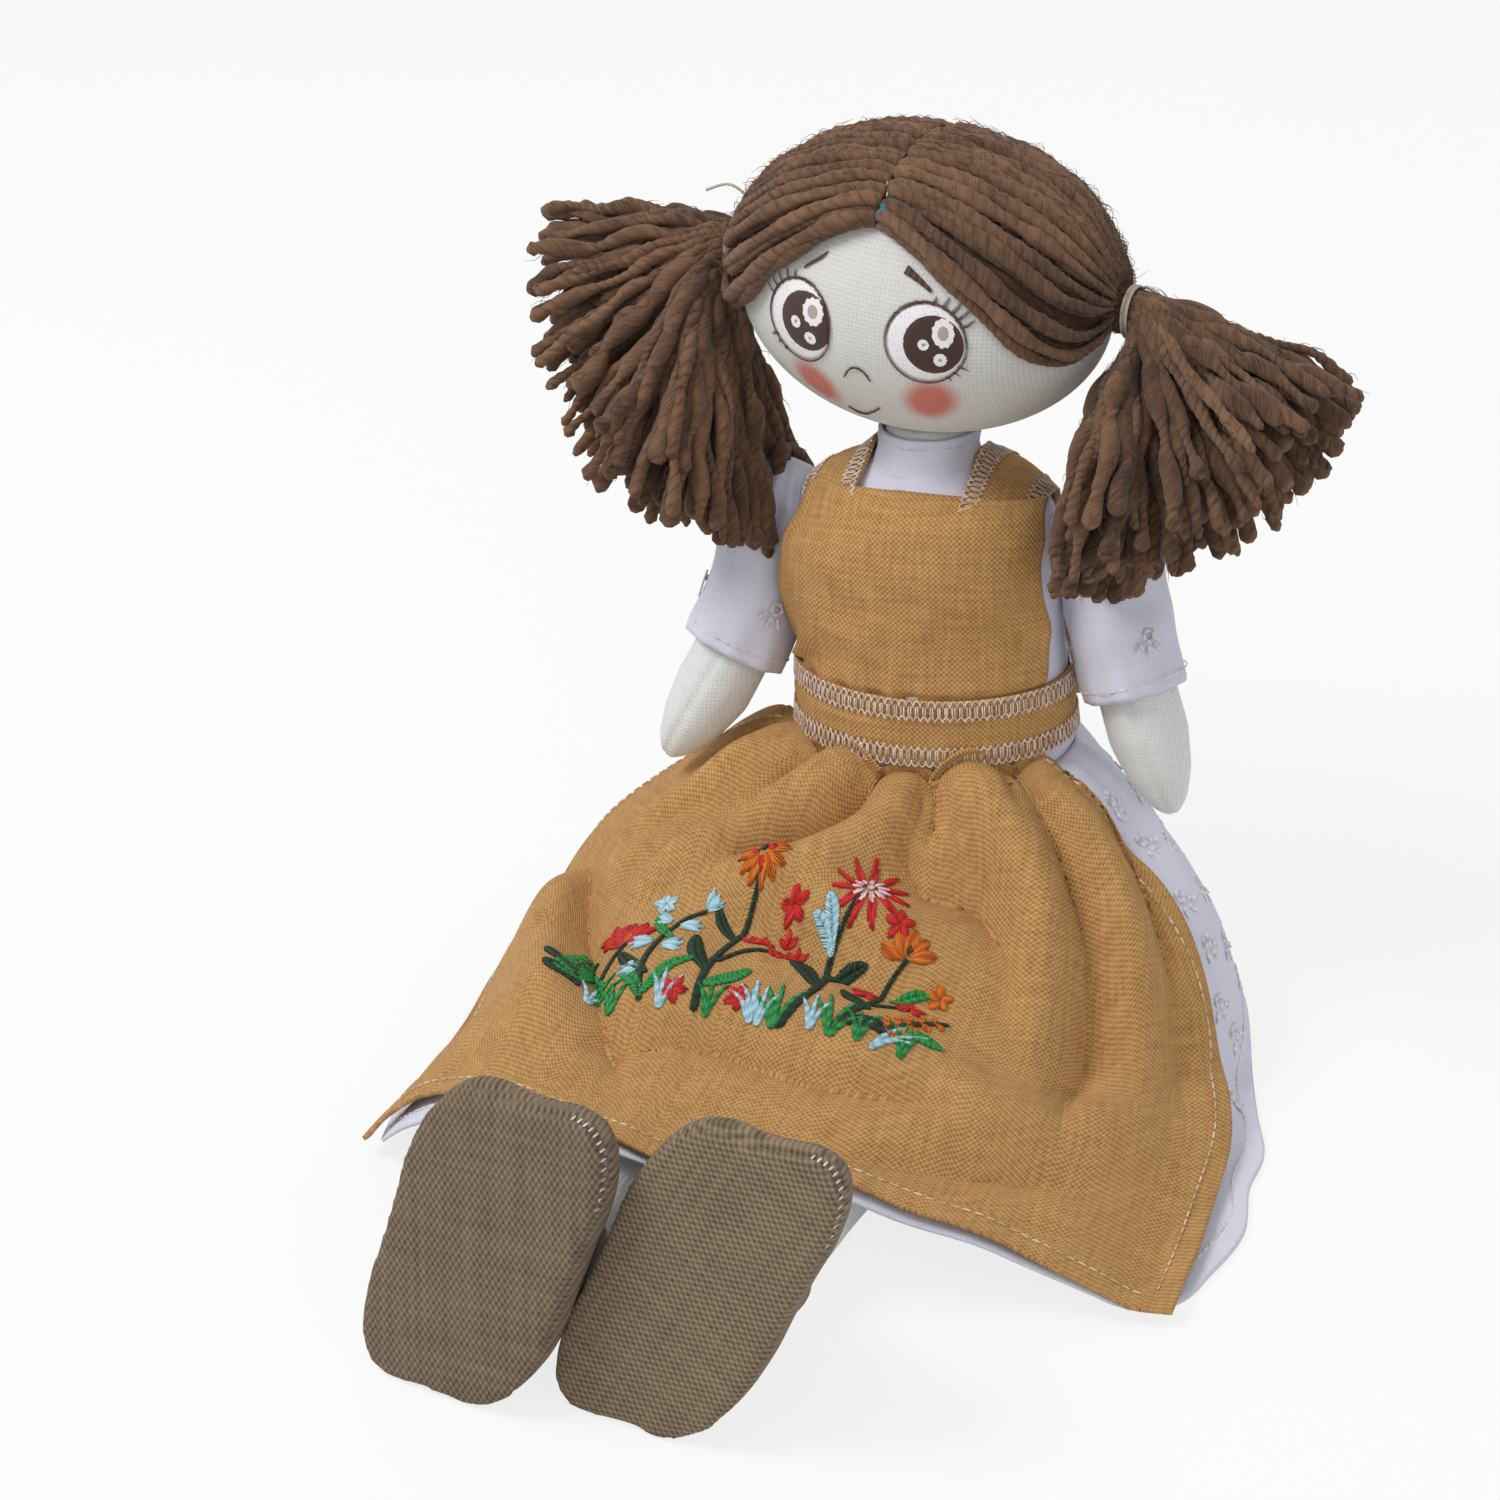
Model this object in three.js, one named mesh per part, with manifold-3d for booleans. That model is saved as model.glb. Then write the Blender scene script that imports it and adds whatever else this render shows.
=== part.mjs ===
// A handmade rag doll, seated, in a white cotton dress and a linen pinafore.
// Millimetres, +Z up. The doll faces -Y, so its own left side is +X.
// The origin is the middle of the flat seat that it sits on.
import * as THREE from "three";
import { mergeVertices } from "three/addons/utils/BufferGeometryUtils.js";
import Module from "manifold-3d";

const wasm = await Module();
wasm.setup();

const radians = THREE.MathUtils.degToRad;
const { cos, sin, hypot, min, max, PI } = Math;

// Cloth and the gaps between layers
const cloth = 1.2; // wall of the dress cotton
const linen = 1.4; // wall of the pinafore linen
const layerGap = 0.4; // between two layers that lie on each other
const drapeGap = 1.6; // between the apron and the skirt that it lies on

// Posture
const seatMiddle = { x: 5.8, y: 6 };
const bodyFoot = { x: 5.8, y: -10 }; // where the body's axis meets the floor
const leanBack = radians(6.5);
const leanSide = radians(5);
const headTurn = radians(-8);
const headLevel = radians(2.5); // how far the head is lifted out of the lean

// Torso and neck, measured along the leaning axis from the floor
const waistHeight = 72;
const waistHalfWidth = 31.5;
const waistHalfDepth = 25;
const hipHalfWidth = 40;
const hipHalfDepth = 31;
const chestHalfWidth = 31;
const chestHalfDepth = 21;
const shoulderHeight = 134;
const neckRadius = 10.5;
const neckTop = shoulderHeight + 16;
const dowelRadius = 3;
const dowelBottom = 92;
const dowelClearance = 0.4;

// Head
const headHalfWidth = 46;
const headHalfDepth = 32.5;
const headHalfTall = 33.5;
const headHeight = neckTop + headHalfTall - 1; // of its middle
const dowelTop = headHeight + 3.5;
const hairLift = 1.8; // under the hair's yarn
const hairThickness = 4.2;
const hairlineAngle = radians(42); // of the parting's front end, above level
const napeAngle = radians(205); // of the parting's back end, over the crown
const tieReach = headHalfWidth + 0.6; // from the head's middle to a bunch's root
const bunchNeck = 5.4;
const bunchRadius = 40;
const bunchLength = 65;
const bunchDrop = { left: radians(70), right: radians(62) }; // below level
const tieCord = 0.8;
const tiePlace = 7.2; // from a bunch's root

// Arms and sleeves
const armThreadHeight = shoulderHeight - 14;
const armThreadY = 6;
const armThreadRadius = 0.8;
const armLength = 69;
const armRadius = 10;
const armInset = 2; // how far an arm's flat inner side cuts into its round
const sleeveRadius = 12.6;
const sleeveLength = 37;

// Legs and shoes
const hipY = -24; // the line that the legs fold about
const hipZ = 20;
const hipSpacing = 20.2; // from the middle to each leg
const thighRadius = 19.6;
const ankleRadius = 11;
const ankleZ = 17;
const foldClearance = 0.5;
const soleLength = 75;
const soleWidth = 46;
const soleThickness = 2.4;
const insoleThickness = 1.6;
const insoleMargin = 4;
const soleMiddle = 36.6; // above the floor
const shoeDepth = 34; // ankle to sole
const soleLean = radians(14);

// Pinafore
const sashHeight = 17;
const bibTop = shoulderHeight + 3;
const bibHalfWidth = 32;
const strapWidth = 17;
const strapInner = 9; // from the middle to a strap's inner edge

// Skirts. The surface is the height of the dress cloth over the lap and the floor.
const floorCloth = 1.6;
const sideReach = 57; // from the waist to where the skirt meets the floor
const backReach = 33;
const skirtTop = 3.3; // below the sash
const lapHeight = 46;
const hemHeight = 34.5;

// Helpers

function geometryOf(points) {
  const flat = points.flatMap((p) => [p.x, p.y, p.z]);
  const made = new THREE.BufferGeometry();
  made.setAttribute("position", new THREE.Float32BufferAttribute(flat, 3));
  return made;
}

// Triangles in either order, turned so that they enclose a positive volume.
function facingOut(triangles) {
  let volume = 0;
  for (let i = 0; i < triangles.length; i += 3)
    volume += triangles[i].dot(triangles[i + 1].clone().cross(triangles[i + 2]));
  if (volume < 0)
    for (let i = 0; i < triangles.length; i += 3)
      [triangles[i + 1], triangles[i + 2]] = [triangles[i + 2], triangles[i + 1]];
  return geometryOf(triangles);
}

// A solid through rings that all have as many points, with flat ends.
function loft(rings) {
  const triangles = [];
  const count = rings[0].length;
  const cap = (ring, turned) => {
    const middle = ring
      .reduce((sum, p) => sum.add(p), new THREE.Vector3())
      .divideScalar(count);
    for (let i = 0; i < count; i++) {
      const next = ring[(i + 1) % count];
      triangles.push(middle, turned ? next : ring[i], turned ? ring[i] : next);
    }
  };
  for (let j = 0; j + 1 < rings.length; j++)
    for (let i = 0; i < count; i++) {
      const next = (i + 1) % count;
      const [a, b] = [rings[j][i], rings[j][next]];
      const [c, d] = [rings[j + 1][next], rings[j + 1][i]];
      triangles.push(a, b, c, a, c, d);
    }
  cap(rings[0], true);
  cap(rings[rings.length - 1], false);
  return facingOut(triangles);
}

// A sheet with a wall, between two grids of points. A round sheet closes on itself.
function sheet(outer, inner, round = false) {
  const triangles = [];
  const quad = (a, b, c, d) => triangles.push(a, b, c, a, c, d);
  const rows = outer.length;
  const last = outer[0].length - 1;
  const steps = round ? rows : rows - 1;
  for (let i = 0; i < steps; i++) {
    const k = (i + 1) % rows;
    for (let j = 0; j < last; j++) {
      quad(outer[i][j], outer[k][j], outer[k][j + 1], outer[i][j + 1]);
      quad(inner[i][j], inner[i][j + 1], inner[k][j + 1], inner[k][j]);
    }
    quad(outer[i][0], inner[i][0], inner[k][0], outer[k][0]);
    quad(outer[i][last], outer[k][last], inner[k][last], inner[i][last]);
  }
  if (!round)
    for (const [i, turned] of [[0, false], [rows - 1, true]])
      for (let j = 0; j < last; j++) {
        const side = [outer[i][j], outer[i][j + 1], inner[i][j + 1], inner[i][j]];
        quad(...(turned ? side.reverse() : side));
      }
  return facingOut(triangles);
}

const grid = (rows, columns, point) =>
  Array.from({ length: rows }, (_, i) =>
    Array.from({ length: columns }, (_, j) => point(i, j)),
  );

function toSolid(geometry) {
  const bare = new THREE.BufferGeometry();
  const flat = geometry.index ? geometry.toNonIndexed() : geometry;
  bare.setAttribute("position", flat.getAttribute("position").clone());
  const merged = mergeVertices(bare, 1e-4);
  return new wasm.Manifold(
    new wasm.Mesh({
      numProp: 3,
      vertProperties: merged.attributes.position.array,
      triVerts: new Uint32Array(merged.index.array),
    }),
  );
}

function toGeometry(solid) {
  const mesh = solid.getMesh();
  const made = new THREE.BufferGeometry();
  const positions = new Float32Array(mesh.vertProperties);
  made.setAttribute("position", new THREE.BufferAttribute(positions, 3));
  made.setIndex(new THREE.BufferAttribute(new Uint32Array(mesh.triVerts), 1));
  return made;
}

const cut = (geometry, ...tools) =>
  toGeometry(tools.reduce((s, t) => s.subtract(toSolid(t)), toSolid(geometry)));

const common = (geometry, tool) =>
  toGeometry(toSolid(geometry).intersect(toSolid(tool)));

// A cut can leave crumbs beside the piece that is kept.
function largest(geometry) {
  const pieces = toSolid(geometry).decompose();
  return toGeometry(pieces.reduce((a, b) => (b.volume() > a.volume() ? b : a)));
}

const joined = (...pieces) =>
  toGeometry(pieces.map(toSolid).reduce((a, b) => a.add(b)));

function box(lowX, highX, lowY, highY, lowZ, highZ) {
  const made = new THREE.BoxGeometry(highX - lowX, highY - lowY, highZ - lowZ);
  return made.translate((lowX + highX) / 2, (lowY + highY) / 2, (lowZ + highZ) / 2);
}

// A cylinder along X, Y or Z from one place to another on that axis.
function rod(axis, radius, from, to, sides = 20) {
  const made = new THREE.CylinderGeometry(radius, radius, to - from, sides);
  made.translate(0, (from + to) / 2, 0);
  if (axis === "x") made.rotateZ(-PI / 2);
  if (axis === "z") made.rotateX(PI / 2);
  return made;
}

// Smooth reading of a list of [place, value, value, ...] rows.
function profile(rows) {
  const curve = (column) =>
    new THREE.SplineCurve(rows.map((r) => new THREE.Vector2(r[0], r[column])));
  const curves = rows[0].slice(1).map((_, i) => curve(i + 1));
  return (wanted) => {
    const place = min(rows[rows.length - 1][0], max(rows[0][0], wanted));
    const i = max(0, rows.findIndex((r) => r[0] >= place) - 1);
    const t = (place - rows[i][0]) / (rows[i + 1][0] - rows[i][0]);
    return curves.map((c) => c.getPoint((i + t) / (rows.length - 1)).y);
  };
}

const smooth = (t) => {
  const s = min(1, max(0, t));
  return s * s * (3 - 2 * s);
};

const root = new THREE.Group();
root.position.set(-seatMiddle.x, -seatMiddle.y, 0);
const upper = new THREE.Group(); // leans back and to the doll's right
upper.position.set(bodyFoot.x, bodyFoot.y, 0);
upper.rotation.set(-leanBack, -leanSide, 0);
root.add(upper);
upper.updateMatrix();
const intoUpper = upper.matrix.clone().invert();

const materials = {
  cotton: new THREE.MeshStandardMaterial({ color: 0xe9e6da, roughness: 0.9 }),
  dress: new THREE.MeshStandardMaterial({ color: 0xf0f0f5, roughness: 0.85 }),
  linen: new THREE.MeshStandardMaterial({ color: 0xb8864a, roughness: 0.9 }),
  yarn: new THREE.MeshStandardMaterial({ color: 0x6d4f3c, roughness: 1 }),
  thread: new THREE.MeshStandardMaterial({ color: 0x3a1f18, roughness: 0.7 }),
  string: new THREE.MeshStandardMaterial({ color: 0xc9c0b2, roughness: 0.9 }),
  shoe: new THREE.MeshStandardMaterial({ color: 0x77695a, roughness: 0.95 }),
  wood: new THREE.MeshStandardMaterial({ color: 0xc8a878, roughness: 0.8 }),
  card: new THREE.MeshStandardMaterial({ color: 0x9a8466, roughness: 0.9 }),
};

function add(parent, name, geometry, material) {
  const mesh = new THREE.Mesh(geometry, materials[material]);
  mesh.name = name;
  parent.add(mesh);
  return mesh;
}

// Torso: one stuffed bag that swells at the hips and draws in to the neck

const torsoShape = profile([
  [-8, hipHalfWidth - 9, hipHalfDepth - 8],
  [4, hipHalfWidth - 3, hipHalfDepth - 2],
  [20, hipHalfWidth, hipHalfDepth],
  [44, hipHalfWidth - 3, hipHalfDepth - 2],
  [waistHeight, waistHalfWidth + 0.5, waistHalfDepth + 0.5],
  [waistHeight + 12, waistHalfWidth, waistHalfDepth],
  [shoulderHeight - 30, chestHalfWidth - 0.5, chestHalfDepth + 1.5],
  [shoulderHeight - 13, chestHalfWidth, chestHalfDepth],
  [shoulderHeight - 4, chestHalfWidth - 3, chestHalfDepth - 2],
  [shoulderHeight, chestHalfWidth - 9, chestHalfDepth - 5],
  [shoulderHeight + 3.5, neckRadius + 3, neckRadius + 1],
  [shoulderHeight + 7, neckRadius, neckRadius - 0.5],
]);

const nearShoulders = [-26, -8, -3, 0, 2.5, 4.5, 7].map((h) => shoulderHeight + h);
const bodyLevels = [-8, 4, 20, 42, waistHeight, waistHeight + 16, ...nearShoulders];

// A ring round the torso, stood off from its skin.
function bodyRing(height, offset, count = 22) {
  const [halfWidth, halfDepth] = torsoShape(height);
  return Array.from({ length: count }, (_, i) => {
    const angle = (i / count) * 2 * PI;
    const x = (halfWidth + offset) * cos(angle);
    const y = (halfDepth + offset) * sin(angle);
    return new THREE.Vector3(x, y, height + offset * shoulderSlope(height));
  });
}

// Over the shoulders an offset layer also rises.
const shoulderSlope = (height) => min(1, max(0, (height - shoulderHeight) / 10 + 1));

function bodyShell(inside, outside, from, to) {
  const levels = [from, ...bodyLevels.filter((h) => h > from + 1 && h < to - 1), to];
  const outer = levels.map((h) => bodyRing(h, outside));
  const inner = levels.map((h) => bodyRing(h, inside));
  const turned = (rings) => rings[0].map((_, i) => rings.map((ring) => ring[i]));
  return sheet(turned(outer), turned(inner), true);
}

// The room that the thighs sweep as they fold from sitting to straight
const widest = 140;
const sweepRadius = thighRadius + foldClearance;
const thighRoom = [
  box(-widest, widest, -widest, hipY, -60, hipZ + sweepRadius),
  box(-widest, widest, -widest, hipY + sweepRadius, -60, hipZ),
  rod("x", sweepRadius, -widest, widest, 40).translate(0, hipY, hipZ),
];

const dowelBore = rod("z", dowelRadius + dowelClearance, dowelBottom - 1, dowelTop + 20);
const threadBore = rod("x", armThreadRadius + 0.4, -60, 60, 12).translate(
  0,
  armThreadY,
  armThreadHeight,
);
const torso = cut(
  loft(bodyLevels.map((h) => bodyRing(h, 0))).applyMatrix4(upper.matrix),
  ...thighRoom,
  box(-widest, widest, -widest, widest, -40, 0),
).applyMatrix4(intoUpper);
add(upper, "torso", cut(torso, dowelBore, threadBore), "cotton");
add(upper, "neck_dowel", rod("z", dowelRadius, dowelBottom, dowelTop), "wood");

const neckBottom = shoulderHeight + 7 + layerGap;
const neck = cut(rod("z", neckRadius, neckBottom, neckTop, 24), dowelBore);
add(upper, "neck", neck, "cotton");

// Head: a wide stuffed ball, fuller at the cheeks

const head = new THREE.Group();
head.position.z = headHeight;
head.rotation.set(0, headLevel, headTurn);
upper.add(head);

// A place on the head in one direction, stood off from its skin.
function onHead(direction, offset) {
  const d = direction.clone().normalize();
  const cheek = 1 + 0.05 * max(0, -d.z) * (1 - max(0, -d.z));
  return new THREE.Vector3(
    d.x * (headHalfWidth * cheek + offset),
    d.y * (headHalfDepth + offset),
    d.z * (headHalfTall + offset),
  );
}

function headBall() {
  const ball = new THREE.SphereGeometry(1, 26, 16).rotateX(PI / 2);
  const place = ball.getAttribute("position");
  for (let i = 0; i < place.count; i++) {
    const p = onHead(new THREE.Vector3().fromBufferAttribute(place, i), 0);
    place.setXYZ(i, p.x, p.y, p.z);
  }
  return ball;
}

head.updateMatrix();
const intoHead = head.matrix.clone().invert();
const headBore = rod("z", dowelRadius + dowelClearance, dowelBottom - 2, dowelTop + 1);
const underside = box(-60, 60, -60, 60, 90, neckTop + layerGap);
const headCuts = [headBore, underside].map((g) => g.applyMatrix4(intoHead));
add(head, "head", cut(headBall(), ...headCuts), "cotton");

// Eyes: two thin patches of satin stitch that lie on the face

const eyeTilt = radians(-1.5);
const eyeTurn = radians(20.5); // from the middle
const eyeHalfWide = radians(11.5);
const eyeHalfTall = radians(16);

function eyePatch(side) {
  const spot = (r, angle, offset) => {
    const turn = side * eyeTurn + r * eyeHalfWide * cos(angle);
    const tilt = eyeTilt + r * eyeHalfTall * sin(angle);
    const d = new THREE.Vector3(
      sin(turn) * cos(tilt),
      -cos(turn) * cos(tilt),
      sin(tilt),
    );
    return onHead(d, offset);
  };
  const around = 16;
  const face = (offset) =>
    grid(around, 3, (i, j) => spot(1 - j * 0.45, (i / around) * 2 * PI, offset));
  const [front, back] = [face(0.9), face(0.3)];
  const triangles = [];
  const quad = (a, b, c, d) => triangles.push(a, b, c, a, c, d);
  for (let i = 0; i < around; i++) {
    const k = (i + 1) % around;
    for (let j = 0; j < 2; j++) {
      quad(front[i][j], front[i][j + 1], front[k][j + 1], front[k][j]);
      quad(back[i][j], back[k][j], back[k][j + 1], back[i][j + 1]);
    }
    quad(front[i][0], front[k][0], back[k][0], back[i][0]);
    triangles.push(front[i][2], spot(0, 0, 0.9), front[k][2]);
    triangles.push(back[i][2], back[k][2], spot(0, 0, 0.3));
  }
  return facingOut(triangles);
}
add(head, "eye_left", eyePatch(1), "thread");
add(head, "eye_right", eyePatch(-1), "thread");

// Hair: yarn laid from the parting round to a tie at each side

const tieDirection = (side) => new THREE.Vector3(side, 0.06, 0.04).normalize();

// The way a strand takes: along runs from brow to nape, across from parting to tie.
function strandDirection(side, along, across) {
  const angle = hairlineAngle + (napeAngle - hairlineAngle) * along;
  const start = new THREE.Vector3(0, -cos(angle), sin(angle));
  const end = tieDirection(side);
  const between = start.angleTo(end);
  const d = start
    .clone()
    .multiplyScalar(sin((1 - across) * between))
    .addScaledVector(end, sin(across * between))
    .divideScalar(sin(between));
  d.z -= 0.62 * sin(across * PI) ** 1.4 * Math.exp(-along * 7);
  return d.normalize();
}

function hairSide(side) {
  const alongs = 11;
  const acrosses = 7;
  const layer = (offset) =>
    grid(alongs, acrosses, (i, j) => {
      const across = 0.008 + (j / (acrosses - 1)) * 0.822;
      return onHead(strandDirection(side, i / (alongs - 1), across), offset);
    });
  return sheet(layer(hairLift + hairThickness), layer(hairLift));
}
add(head, "hair_left", hairSide(1), "yarn");
add(head, "hair_right", hairSide(-1), "yarn");

// A bunch: cut yarn that leaves its tie level, drops and fans out in shallow flutes
function bunchShape(side, drop) {
  const shape = profile([
    [-0.6, 1.4],
    [2, bunchNeck - 1.6],
    [4.6, bunchNeck - 0.3],
    [6.6, bunchNeck],
    [8.5, bunchNeck],
    [17, bunchNeck + 8],
    [28, bunchRadius * 0.66],
    [42, bunchRadius * 0.95],
    [52, bunchRadius],
    [bunchLength - 4, bunchRadius * 0.82],
    [bunchLength, bunchRadius * 0.4],
  ]);
  const flutes = 7;
  const levels = [-0.6, 2, 4.6, 8.5, 12, 18, 27, 39, 52, bunchLength - 4, bunchLength];
  const middle = new THREE.Vector2();
  let last = 0;
  return loft(
    levels.map((level) => {
      const turn = drop * smooth((level - 8.5) / 12);
      middle.x += (level - last) * cos(turn);
      middle.y -= (level - last) * sin(turn);
      last = level;
      return Array.from({ length: flutes * 3 }, (_, i) => {
        const angle = (i / (flutes * 3)) * 2 * PI;
        const depth = 0.05 * smooth((level - 7) / 14);
        const radius = shape(level)[0] * (1 + depth * cos(flutes * angle));
        const across = radius * cos(angle);
        const x = middle.x + across * sin(turn);
        const z = middle.y + across * cos(turn);
        return new THREE.Vector3(side * x, 0.8 * radius * sin(angle), z);
      });
    }),
  );
}

// The bunches leave room for the shoulders, also when the head turns.
const shoulderRoom = { reach: 56, halfDeep: 22, halfTall: 16 };
const shoulders = [
  rod("x", 1, -shoulderRoom.reach, shoulderRoom.reach, 32)
    .scale(1, shoulderRoom.halfDeep, shoulderRoom.halfTall)
    .translate(0, armThreadY, armThreadHeight),
  box(
    -shoulderRoom.reach,
    shoulderRoom.reach,
    armThreadY - shoulderRoom.halfDeep,
    armThreadY + shoulderRoom.halfDeep,
    40,
    armThreadHeight,
  ),
];

for (const [name, side] of [["left", 1], ["right", -1]]) {
  const bunch = new THREE.Group();
  bunch.position.copy(tieDirection(side)).multiplyScalar(tieReach);
  head.add(bunch);
  bunch.updateMatrix();
  const fromUpper = head.matrix.clone().multiply(bunch.matrix).invert();
  const room = shoulders.map((g) => g.clone().applyMatrix4(fromUpper));
  add(bunch, "bunch_" + name, cut(bunchShape(side, bunchDrop[name]), ...room), "yarn");
  const tie = new THREE.TorusGeometry(bunchNeck + layerGap + tieCord, tieCord, 6, 20);
  tie.rotateY(PI / 2).translate(side * tiePlace, 0, 0);
  add(bunch, "hair_tie_" + name, tie, "string");
}

// Arms: stuffed mittens that turn on a thread through the shoulders

const armPlane = chestHalfWidth + layerGap + cloth + layerGap; // clears the bodice
const armShape = profile([
  [-10, 2.5],
  [-7, armRadius - 3.5],
  [0, armRadius],
  [16, armRadius - 0.6],
  [34, armRadius - 0.2],
  [48, armRadius],
  [58, armRadius - 2],
  [65, armRadius - 5],
  [armLength, 1.5],
]);
const sleeveShape = profile([
  [-12.4, 4],
  [-9, sleeveRadius - 4],
  [-2, sleeveRadius],
  [16, sleeveRadius],
  [sleeveLength, sleeveRadius - 0.2],
]);

// The place on an arm's middle line, which hangs down and bends outwards below the shoulder
function armPlace(pose, level) {
  const forward = new THREE.Matrix4().makeRotationX(-pose.forward);
  const middle = new THREE.Vector3();
  const steps = 40;
  let turns;
  for (let i = 0; i < steps; i++) {
    const outward = pose.outward + pose.bend * smooth(((i + 0.5) / steps) * (level / armLength));
    turns = new THREE.Matrix4().makeRotationY(-pose.side * outward).premultiply(forward);
    middle.add(new THREE.Vector3(0, 0, -level / steps).applyMatrix4(turns));
  }
  return turns.setPosition(middle);
}

function armRings(shape, levels, offset, pose, count = 14) {
  return levels.map((level) => {
    const place = armPlace(pose, level);
    const radius = max(0.4, shape(level)[0] + offset);
    return Array.from({ length: count }, (_, i) => {
      const angle = (i / count) * 2 * PI;
      return new THREE.Vector3(radius * cos(angle), radius * sin(angle), 0).applyMatrix4(place);
    });
  });
}

const armKnot = armPlane + 2 * armRadius - armInset - 4;
const knotRadius = 1.9;
const pocketRadius = knotRadius + 0.5;
const knotPocket = joined(
  rod("x", pocketRadius, armKnot - 3, armKnot + 9, 12),
  rod("x", pocketRadius, -armKnot - 9, -armKnot + 3, 12),
).translate(0, armThreadY, armThreadHeight);

const armPoses = {
  left: { side: 1, outward: radians(14), bend: radians(6), forward: radians(8) },
  right: { side: -1, outward: radians(9), bend: radians(24), forward: radians(21) },
};

for (const [name, pose] of Object.entries(armPoses)) {
  const shoulder = [pose.side * (armPlane + armRadius - armInset), armThreadY, armThreadHeight];
  const inside = box(-armPlane, armPlane, -90, 90, 0, 220);
  const made = (shape, levels, offset) =>
    loft(armRings(shape, levels, offset, pose)).translate(...shoulder);
  const arm = made(armShape, [-10, -7, 0, 16, 34, 48, 58, 65, armLength], 0);
  add(upper, "arm_" + name, cut(arm, inside, threadBore, knotPocket), "cotton");
  const outside = made(sleeveShape, [-12.4, -9, -2, 9, 20, 30, sleeveLength], 0);
  const hollow = made(sleeveShape, [-11.2, -8.5, -2, 9, 20, 30, sleeveLength + 2], -cloth);
  add(upper, "sleeve_" + name, cut(outside, hollow, inside), "dress");
}

// Both arms hang on one waxed thread with a knot at each end.
function armThread() {
  const end = armKnot;
  const knot = knotRadius;
  const points = [
    new THREE.Vector2(0, -end - knot),
    new THREE.Vector2(knot, -end),
    new THREE.Vector2(armThreadRadius, -end + knot),
    new THREE.Vector2(armThreadRadius, end - knot),
    new THREE.Vector2(knot, end),
    new THREE.Vector2(0, end + knot),
  ];
  const made = new THREE.LatheGeometry(points, 10).rotateZ(-PI / 2);
  return made.translate(0, armThreadY, armThreadHeight);
}
add(upper, "arm_thread", armThread(), "string");

// Dress bodice and collar

const bodiceTop = shoulderHeight + 6;
const bodice = bodyShell(layerGap, layerGap + cloth, waistHeight - 5, bodiceTop);
add(upper, "dress_bodice", cut(bodice, threadBore), "dress");

const collarBottom = bodiceTop + layerGap + cloth + layerGap;
function band(radius, wall, from, to, sides = 24) {
  const points = [
    new THREE.Vector2(radius, from),
    new THREE.Vector2(radius + wall, from),
    new THREE.Vector2(radius + wall, to),
    new THREE.Vector2(radius, to),
    new THREE.Vector2(radius, from),
  ];
  return new THREE.LatheGeometry(points, sides).rotateX(PI / 2);
}
const collar = band(neckRadius + layerGap, cloth, collarBottom, neckTop - 2);
add(upper, "dress_collar", collar, "dress");

// Pinafore: bib, straps and sash lie over the bodice

const overBodice = layerGap + cloth + layerGap;
const sashBottom = waistHeight;
const sashTop = waistHeight + sashHeight;
const overSash = bodyShell(overBodice, overBodice + linen, sashBottom, sashTop);
add(upper, "sash", overSash, "linen");

// The bib stands straight up in front of the chest, and the straps end behind it.
function bibShell(inside, outside, from, to) {
  const levels = [from, 104, 120, 129, to];
  const ring = (height, offset) => {
    const lift = 2.6 * smooth((height - 96) / 24);
    const chest = bodyRing(min(height, shoulderHeight - 14), offset + lift);
    const body = bodyRing(height, offset + lift);
    return chest.map((p, i) => new THREE.Vector3(p.x, body[i].y, height));
  };
  const turned = (offset) => {
    const rings = levels.map((h) => ring(h, offset));
    return rings[0].map((_, i) => rings.map((r) => r[i]));
  };
  return sheet(turned(outside), turned(inside), true);
}

const bibBottom = sashTop + layerGap;
const bib = bibShell(overBodice, overBodice + linen, bibBottom, bibTop);
const bibBounds = box(-bibHalfWidth, bibHalfWidth, -60, -6, 0, 200);
add(upper, "bib", common(bib, bibBounds), "linen");
const bibRoom = common(
  bibShell(overBodice - 0.7, overBodice + 12, bibBottom - 1, bibTop + 2),
  box(-60, 60, -60, -4, 0, 200),
);

for (const [name, side] of [["left", 1], ["right", -1]]) {
  const edges = [side * strapInner, side * (strapInner + strapWidth)];
  const width = [min(...edges), max(...edges)];
  const hugging = bodyShell(overBodice, overBodice + linen, bibBottom, bodiceTop - 3);
  const strip = common(hugging, box(...width, -60, 60, 0, 200));
  add(upper, "strap_" + name, largest(cut(strip, bibRoom)), "linen");
}

// The sash is tied behind in a bow
const bow = new THREE.Group();
bow.position.set(0, waistHalfDepth + overBodice + linen + layerGap, waistHeight + 9);
upper.add(bow);
const knotDepth = 7;
const knot = new THREE.SphereGeometry(1, 12, 8).scale(7, knotDepth / 2, 7);
add(bow, "bow_knot", knot.translate(0, knotDepth / 2, 0), "linen");

const bowReach = 31;
for (const [name, side] of [["left", 1], ["right", -1]]) {
  const start = 7 + layerGap;
  const loop = loft(
    [0, 0.25, 0.55, 0.85, 1].map((t) => {
      const halfTall = 4 + 7 * sin(min(1, t * 1.1) * PI * 0.62);
      const halfDeep = 2 + 3 * sin(t * PI);
      return Array.from({ length: 12 }, (_, i) => {
        const angle = (i / 12) * 2 * PI;
        const x = side * (start + t * (bowReach - start));
        const y = knotDepth / 2 + halfDeep * cos(angle);
        return new THREE.Vector3(x, y, halfTall * sin(angle) - 3 * t);
      });
    }),
  );
  add(bow, "bow_loop_" + name, loop, "linen");
}

// Legs: stuffed tubes that end in big flat-soled shoes

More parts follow.
